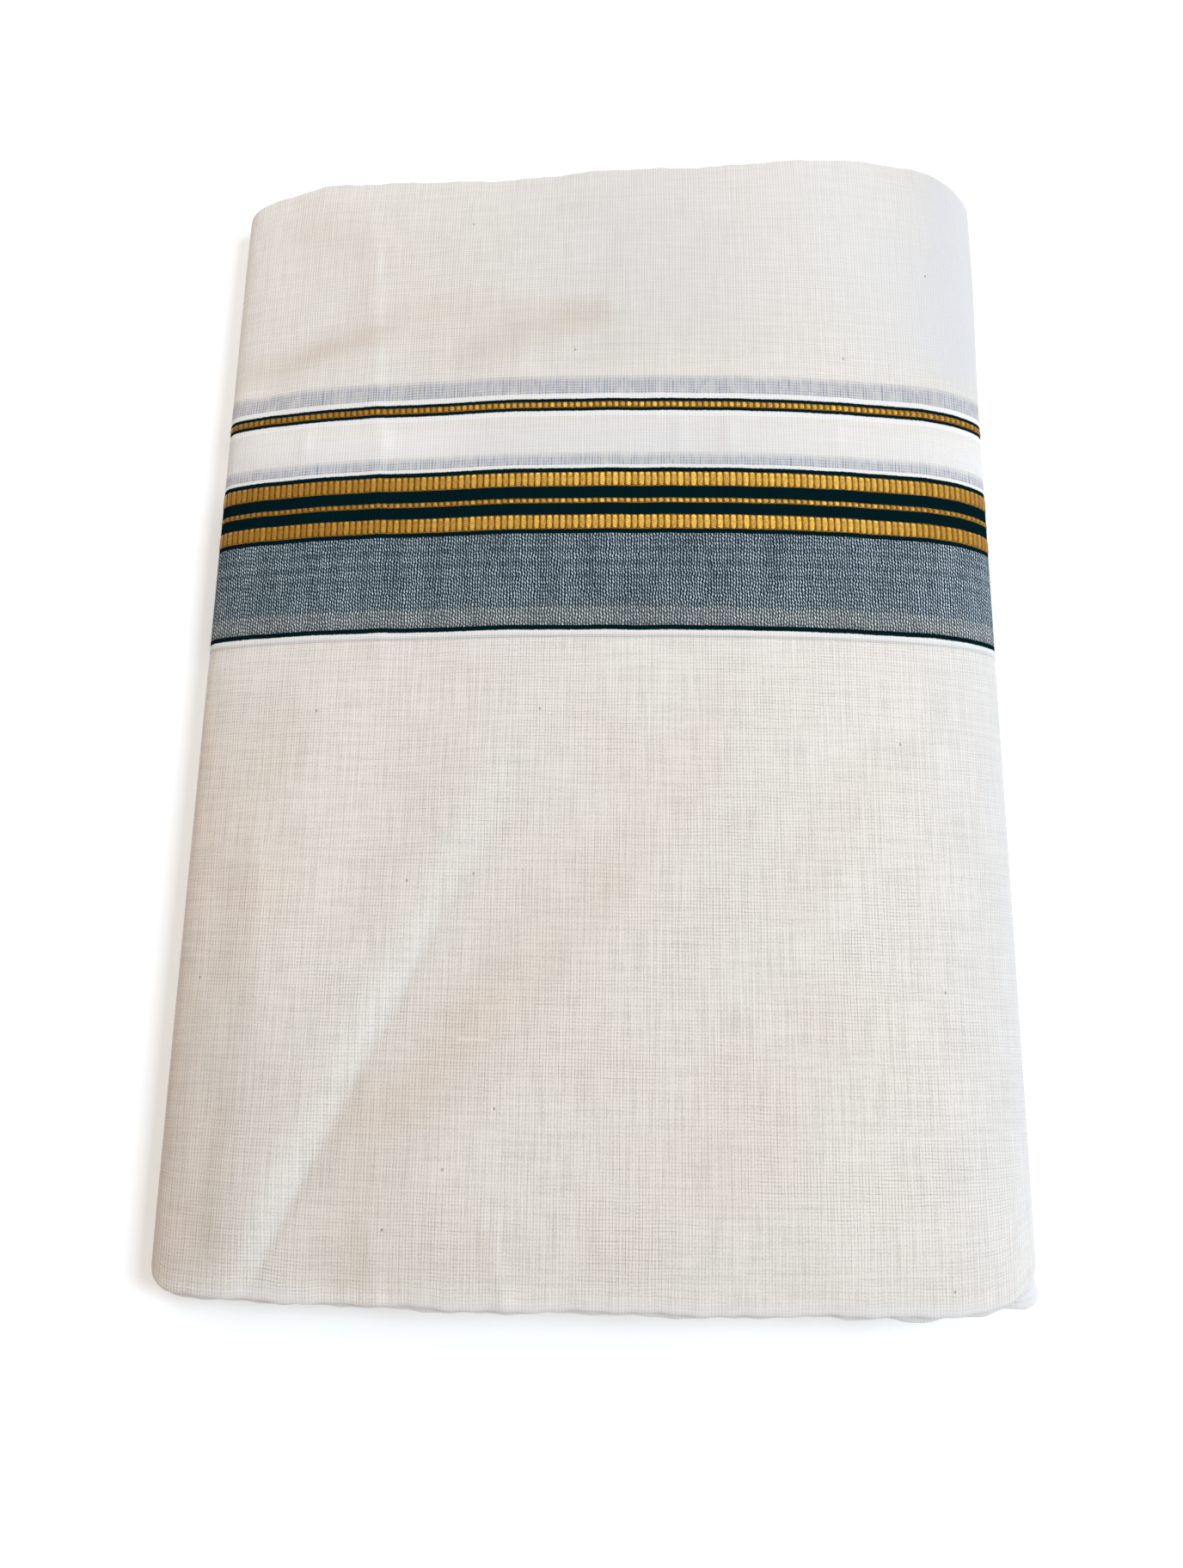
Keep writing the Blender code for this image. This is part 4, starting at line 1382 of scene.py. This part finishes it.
class DHOTI_OT_border_cloth(bpy.types.Operator):
    """Make the outer ply with the woven borders, from its selvage to the top edge"""

    bl_idname = "dhoti.border_cloth"
    bl_label = "Border ply"

    def execute(self, context):
        sizes, colours = context.scene.dhoti_sizes, context.scene.dhoti_colours
        radius = sizes.fold_radius
        turn_y = TOP_END - radius
        path = [(y, 0.0) for y in rows_between(SELVAGE_Y, turn_y, ROW_STEP)[:-1]]
        path += arc(turn_y, radius, radius, 90, -90, FOLD_ROWS)
        path += [(TOP_END - TURNED_IN, 2 * radius)]
        material = bordered_cotton("bordered_cotton", sizes, colours)
        piece = cloth_piece(
            "border_cloth",
            cloth_grid(path, seed=OUTER_SEED),
            path_lengths(path, SELVAGE_Y),
            material,
            "bordered_cotton",
            "border_ply",
            sizes.ply_thickness,
        )
        flat_size(path)
        return {"FINISHED"}


class DHOTI_OT_gold_ribs(bpy.types.Operator):
    """Make the raised ribs of the gold stripes, all round the border ply"""

    bl_idname = "dhoti.gold_ribs"
    bl_label = "Gold ribs"

    def execute(self, context):
        sizes, colours = context.scene.dhoti_sizes, context.scene.dhoti_colours
        yarn = gold_yarn("gold_yarn", colours)
        chance = np.random.default_rng(TONE_SEED)
        rows = []
        for stripe in STRIPES:
            if stripe.weave not in RIB_STYLES:
                continue
            style = RIB_STYLES[stripe.weave]
            points, outward = self.rib_places(0.5 * (stripe.low + stripe.high), sizes)
            length = style.reach * (stripe.high - stripe.low) * MM
            stretch = np.tile((style.width, length, 1.0), (len(points), 1))
            rows.append((points, outward, stretch, self.rib_tones(points, style, chance)))
        points, outward, stretch, tone = (np.concatenate(column) for column in zip(*rows))
        along = np.tile((0.0, 1.0, 0.0), (len(points), 1))
        values = {"outward": outward, "along": along, "stretch": stretch, "tone": tone}
        source = points_object("rib_points", points, values=values)
        use_recipe(source, rib_recipe(), {
            "Rib Width": sizes.rib_pitch * MM,
            "Rib Height": sizes.rib_height * MM,
            "Unevenness": RIB_UNEVENNESS,
            "Seed": RIB_SEED,
            "Yarn": yarn,
        })
        mesh = nodes_result(source, "gold_ribs")
        mesh.shade_smooth()
        show(mesh, yarn, "bordered_cotton")
        return {"FINISHED"}

    def rib_tones(self, points, style, chance):
        """How light each rib is: painted in shade to both sides, every second one darker, and uneven.
        """
        aside = points[:, 0] / MM - LIT_MIDDLE
        left = smooth_step(-aside / LEFT_GROWS) * LEFT_PAINTED_SHADE
        right = smooth_step((aside - RIGHT_FROM) / RIGHT_GROWS) * RIGHT_PAINTED_SHADE
        every_second = 0.86 + 0.14 * (-1.0) ** np.arange(len(points))
        uneven = chance.uniform(1 - style.loose, 1.1, len(points))
        return style.tone * (1 - (left + right)) * every_second * uneven

    def rib_places(self, y, sizes):
        """Places and outward directions of one row of ribs."""
        path = [(y - 0.5, 0.0), (y, 0.0), (y + 0.5, 0.0)]
        row = cloth_grid(path, seed=OUTER_SEED)[1]
        loop = np.vstack((row, row[:1]))
        places = cloth_places()
        count = int(round(places[-1] / sizes.rib_pitch))
        wanted = (np.arange(count) + 0.5) * places[-1] / count
        x, z = np.interp(wanted, places, loop[:, 0]), np.interp(wanted, places, loop[:, 2])
        run_x = np.roll(x, -1) - np.roll(x, 1)
        run_z = np.roll(z, -1) - np.roll(z, 1)
        length = np.hypot(run_x, run_z)
        out_x, out_z = -run_z / length, run_x / length
        sunk = np.where(z < 1.0, sizes.rib_height, 0.0)
        points = np.stack((x - out_x * sunk, np.full_like(x, y), z - out_z * sunk), axis=1) * MM
        outward = np.stack((out_x, np.zeros_like(x), out_z), axis=1)
        return points, outward


class DHOTI_OT_body_cloth(bpy.types.Operator):
    """Make the plain ply, from under the border ply to the bottom edge"""

    bl_idname = "dhoti.body_cloth"
    bl_label = "Plain ply"

    def execute(self, context):
        sizes, colours = context.scene.dhoti_sizes, context.scene.dhoti_colours
        radius = sizes.fold_radius
        turn_y = BOTTOM_END + radius
        rows = rows_between(SELVAGE_Y + UNDERLAP, turn_y, ROW_STEP)[:-1]
        under_lap = [float(smooth_step((y - SELVAGE_Y + STEP_GROWS) / STEP_GROWS)) for y in rows]
        path = [(y, sizes.selvage_step * share) for y, share in zip(rows, under_lap)]
        path += arc(turn_y, radius, radius, 90, 270, FOLD_ROWS)
        path += [(BOTTOM_END + TURNED_IN, 2 * radius)]
        material = plain_cotton("plain_cotton", sizes, colours, colours.cotton, True)
        piece = cloth_piece(
            "body_cloth",
            cloth_grid(path, seed=OUTER_SEED),
            SELVAGE_Y + UNDERLAP - path_lengths(path, 0.0),
            material,
            "plain_cotton",
            "body_ply",
            sizes.ply_thickness,
        )
        flat_size(path)
        return {"FINISHED"}


class DHOTI_OT_second_turns(bpy.types.Operator):
    """Make the folded edges of the second turn, which stand out at both ends"""

    bl_idname = "dhoti.second_turns"
    bl_label = "Second turn's edges"

    def execute(self, context):
        sizes, colours = context.scene.dhoti_sizes, context.scene.dhoti_colours
        material = plain_cotton("inner_cotton", sizes, colours, colours.inner_cotton, False)
        for edge in SECOND_EDGES:
            self.make_edge(edge, material, sizes)
        return {"FINISHED"}

    def make_edge(self, edge, material, sizes):
        """Make one folded edge with its ruffles."""
        inward = edge.inward
        radius = SECOND_HEIGHT / 2
        tip_y = edge.end + inward * radius
        reach = rows_between(edge.end + inward * EDGE_REACH, tip_y, ROW_STEP)[:-1]
        path = [(y, SECOND_DEPTH) for y in reach]
        path += arc(tip_y, SECOND_DEPTH + radius, radius, 90, 90 + 180 * inward, FOLD_ROWS)
        path += [(y, SECOND_DEPTH + SECOND_HEIGHT) for y in reversed(reach)]
        loose_length = EDGE_REACH * LOOSE_SHARE
        share = [smooth_step(1 - (row[0] - tip_y) * inward / loose_length) for row in path]
        share = np.array(share)[:, None]

        def stand_out(across):
            """Move the edge out past the outer turn, with small ruffles near the right."""
            peek = across_table(edge.peeks, "peek", across)
            if inward > 0:
                ruffle = smooth_step((across - RUFFLES_FROM) / RUFFLES_GROW)
                peek = peek + ruffle * (0.35 * np.sin(across * 46) + 0.25 * np.sin(across * 19 + 1))
            return -inward * share * peek

        def flare(across):
            """Move the corner that stands clear of the outer turn sideways."""
            clear = across_table(edge.peeks, "peek", across) - OPENS_FROM
            return share * edge.opening * smooth_step(clear / OPENS_OVER)

        piece = cloth_piece(
            edge.piece,
            cloth_grid(path, SECOND_CREASES, stand_out, flare, INNER_SEED),
            path_lengths(path, 0.0),
            material,
            "inner_cotton",
            edge.node,
            sizes.ply_thickness,
            tinted_and_shaded=False,
        )
        flat_size(path)


class DHOTI_OT_inner_turns(bpy.types.Operator):
    """Make the hidden turns as one rounded body, with the folds of their plies at both ends"""

    bl_idname = "dhoti.inner_turns"
    bl_label = "Inner turns"

    def execute(self, context):
        sizes = context.scene.dhoti_sizes
        cloth = bpy.data.materials.get("inner_cotton")
        if cloth is None:
            raise RuntimeError("the second turn's edges come before the inner turns")
        rings = []
        for closing in np.linspace(CORE_CLOSES_AT, 0.0, CORE_END_RINGS):
            rings.append(self.end_ring(BOTTOM_END, 1, closing, CORE_RECESS))
        for y in rows_between(BOTTOM_END + EDGE_REACH, TOP_END - EDGE_REACH, CORE_ROW_STEP):
            after_start = smooth_step((y - SELVAGE_Y + LAP_STARTS) / LAP_GROWS)
            before_end = smooth_step((SELVAGE_Y + UNDERLAP + LAP_ENDS - y) / LAP_GROWS)
            depth = CORE_DEPTH + LAP_DEPTH * float(after_start * before_end)
            rings.append(cloth_grid([(y, depth)], seed=OUTER_SEED)[0])
        for closing in np.linspace(0.0, CORE_CLOSES_AT, CORE_END_RINGS):
            rings.append(self.end_ring(TOP_END, -1, closing, CORE_RECESS))
        mesh = self.closed_body("inner_turns_cloth", rings)
        show(mesh, cloth, "inner_cotton", "inner_turns")
        self.ply_folds(sizes, cloth)
        return {"FINISHED"}

    def end_ring(self, end, inward, closing, recess):
        """A ring at an end of the body, drawn towards the bundle's middle plane."""
        y = end + inward * CORE_INSET
        row = cloth_grid([(y, CORE_END_DEPTH)], CORE_CREASES, seed=INNER_SEED)[0]
        narrow = 1 - closing * CORE_NARROWS / HALF_WIDTH
        middle = 0.5 * front_height(np.clip(row[:, 0] / HALF_WIDTH, -1, 1), np.full(len(row), y))
        depth = inward * (recess + closing * CORE_HOLLOW)
        height = middle + (row[:, 2] - middle) * (1 - closing)
        return np.stack((row[:, 0] * narrow, row[:, 1] + depth, height), axis=1)

    def closed_body(self, name, rings):
        """A closed body through rings of points, with the weave's UV map."""
        body = bmesh.new()
        layer = body.loops.layers.uv.new("weave")
        places = cloth_places()
        made = [[body.verts.new(point * MM) for point in ring] for ring in rings]
        for near, far, ring, next_ring in zip(made, made[1:], rings, rings[1:]):
            for index in range(len(near)):
                follow = (index + 1) % len(near)
                face = body.faces.new((near[index], near[follow], far[follow], far[index]))
                corners = (
                    (places[index], ring[index][1]),
                    (places[index + 1], ring[index][1]),
                    (places[index + 1], next_ring[index][1]),
                    (places[index], next_ring[index][1]),
                )
                for loop, corner in zip(face.loops, corners):
                    loop[layer].uv = (corner[0] * MM, corner[1] * MM)
        body.faces.new(made[0])
        body.faces.new(made[-1])
        bmesh.ops.triangulate(body, faces=[face for face in body.faces if len(face.verts) > 4])
        bmesh.ops.recalc_face_normals(body, faces=body.faces)
        mesh = bpy.data.meshes.new(name)
        body.to_mesh(mesh)
        body.free()
        mesh.shade_smooth()
        return mesh

    def ply_folds(self, sizes, cloth):
        """Make the rounded folds of the inner plies at both ends."""
        points, edges = [], []
        step = CORE_CLOSES_AT / sizes.inner_folds
        for end, inward, seed in ((TOP_END, -1, 0.6), (BOTTOM_END, 1, 3.9)):
            for number in range(sizes.inner_folds):
                uneven = PLY_FOLD_UNEVEN * math.sin(number * PLY_FOLD_TURN + seed)
                ring = self.end_ring(end, inward, step * (number + PLY_FOLD_STARTS), uneven)[::2]
                first = len(points)
                points += [point * MM for point in ring]
                edges += [(first + i, first + (i + 1) % len(ring)) for i in range(len(ring))]
        source = points_object("fold_lines", points, edges)
        use_recipe(source, fold_recipe(), {
            "Fold Radius": PLY_FOLD_RADIUS * MM,
            "Unevenness": PLY_FOLD_WANDER * MM,
            "Cloth": cloth,
        })
        mesh = nodes_result(source, "inner_ply_folds")
        show(mesh, cloth, "inner_cotton")


class DHOTI_OT_stage(bpy.types.Operator):
    """Set up the floor, the lights and the camera"""

    bl_idname = "dhoti.stage"
    bl_label = "Floor, lights and camera"

    def execute(self, context):
        self.floor()
        self.lights()
        self.camera()
        return {"FINISHED"}

    def floor(self):
        """A plain pale floor."""
        mesh = bpy.data.meshes.new("floor")
        corners = [(x * FLOOR_HALF, y * FLOOR_HALF, 0) for x, y in ((-1, -1), (1, -1), (1, 1), (-1, 1))]
        mesh.from_pydata(corners, [], [(0, 1, 2, 3)])
        finish = Finish("pale_floor")
        for name, value in (
            ("Base Color", FLOOR_COLOUR),
            ("Roughness", FLOOR_ROUGHNESS),
            ("Emission Color", FLOOR_GLOW),
            ("Emission Strength", FLOOR_GLOW_STRENGTH),
        ):
            finish.feed(finish.shader.inputs[name], value)
        mesh.materials.append(finish.material)
        floor = bpy.data.objects.new("floor", mesh)
        bpy.context.scene.collection.objects.link(floor)

    def lights(self):
        """A large cool light from the right, a weak one from the top end, and a pale warm room."""
        for lamp in LAMPS:
            light = bpy.data.lights.new(lamp.name, "AREA")
            light.size = lamp.size
            light.energy = lamp.power
            light.color = lamp.colour
            holder = bpy.data.objects.new(lamp.name, light)
            holder.location = lamp.place
            holder.rotation_mode = "QUATERNION"
            holder.rotation_quaternion = (-Vector(lamp.place)).to_track_quat("-Z", "Y")
            bpy.context.scene.collection.objects.link(holder)
        world = bpy.data.worlds.new("pale_room")
        world.use_nodes = True
        sky = world.node_tree.nodes["Background"]
        sky.inputs["Color"].default_value = ROOM_COLOUR
        sky.inputs["Strength"].default_value = ROOM_STRENGTH
        bpy.context.scene.world = world
        bpy.context.scene.view_settings.view_transform = "Standard"

    def camera(self):
        """A camera above the bundle, a little towards its bottom edge."""
        lens = bpy.data.cameras.new("camera")
        lens.sensor_width = SENSOR_WIDTH
        lens.lens = LENS
        lens.clip_start = 0.01
        camera = bpy.data.objects.new("camera", lens)
        back = Vector(CAMERA_BACK).normalized()
        up = back.cross(Vector(CAMERA_RIGHT)).normalized()
        turned = Matrix((up.cross(back), up, back)).transposed().to_4x4()
        camera.matrix_world = Matrix.Translation(Vector(CAMERA_PLACE) * MM) @ turned
        bpy.context.scene.collection.objects.link(camera)
        bpy.context.scene.camera = camera


class DHOTI_PT_panel(bpy.types.Panel):
    """Lists the pieces and their settings"""

    bl_idname = "DHOTI_PT_panel"
    bl_label = "Folded dhoti"
    bl_space_type = "VIEW_3D"
    bl_region_type = "UI"
    bl_category = "Dhoti"

    def draw(self, context):
        layout = self.layout
        for group in (context.scene.dhoti_sizes, context.scene.dhoti_colours):
            box = layout.box()
            for key in group.__annotations__:
                box.prop(group, key)
        for operator in OPERATORS:
            layout.operator(operator.bl_idname)


OPERATORS = (
    DHOTI_OT_gold_ribs,
    DHOTI_OT_border_cloth,
    DHOTI_OT_body_cloth,
    DHOTI_OT_second_turns,
    DHOTI_OT_inner_turns,
    DHOTI_OT_stage,
)
CLASSES = (DhotiSizes, DhotiColours, *OPERATORS, DHOTI_PT_panel)


def register():
    """Add the classes and their settings to Blender."""
    for item in CLASSES:
        bpy.utils.register_class(item)
    bpy.types.Scene.dhoti_sizes = bpy.props.PointerProperty(type=DhotiSizes)
    bpy.types.Scene.dhoti_colours = bpy.props.PointerProperty(type=DhotiColours)


def unregister():
    """Remove the classes and their settings from Blender."""
    del bpy.types.Scene.dhoti_colours
    del bpy.types.Scene.dhoti_sizes
    for item in reversed(CLASSES):
        bpy.utils.unregister_class(item)


def main():
    """Make every piece."""
    register()
    bpy.ops.dhoti.gold_ribs()
    bpy.ops.dhoti.border_cloth()
    bpy.ops.dhoti.body_cloth()
    bpy.ops.dhoti.second_turns()
    bpy.ops.dhoti.inner_turns()
    bpy.ops.dhoti.stage()


if __name__ == "__main__":
    main()
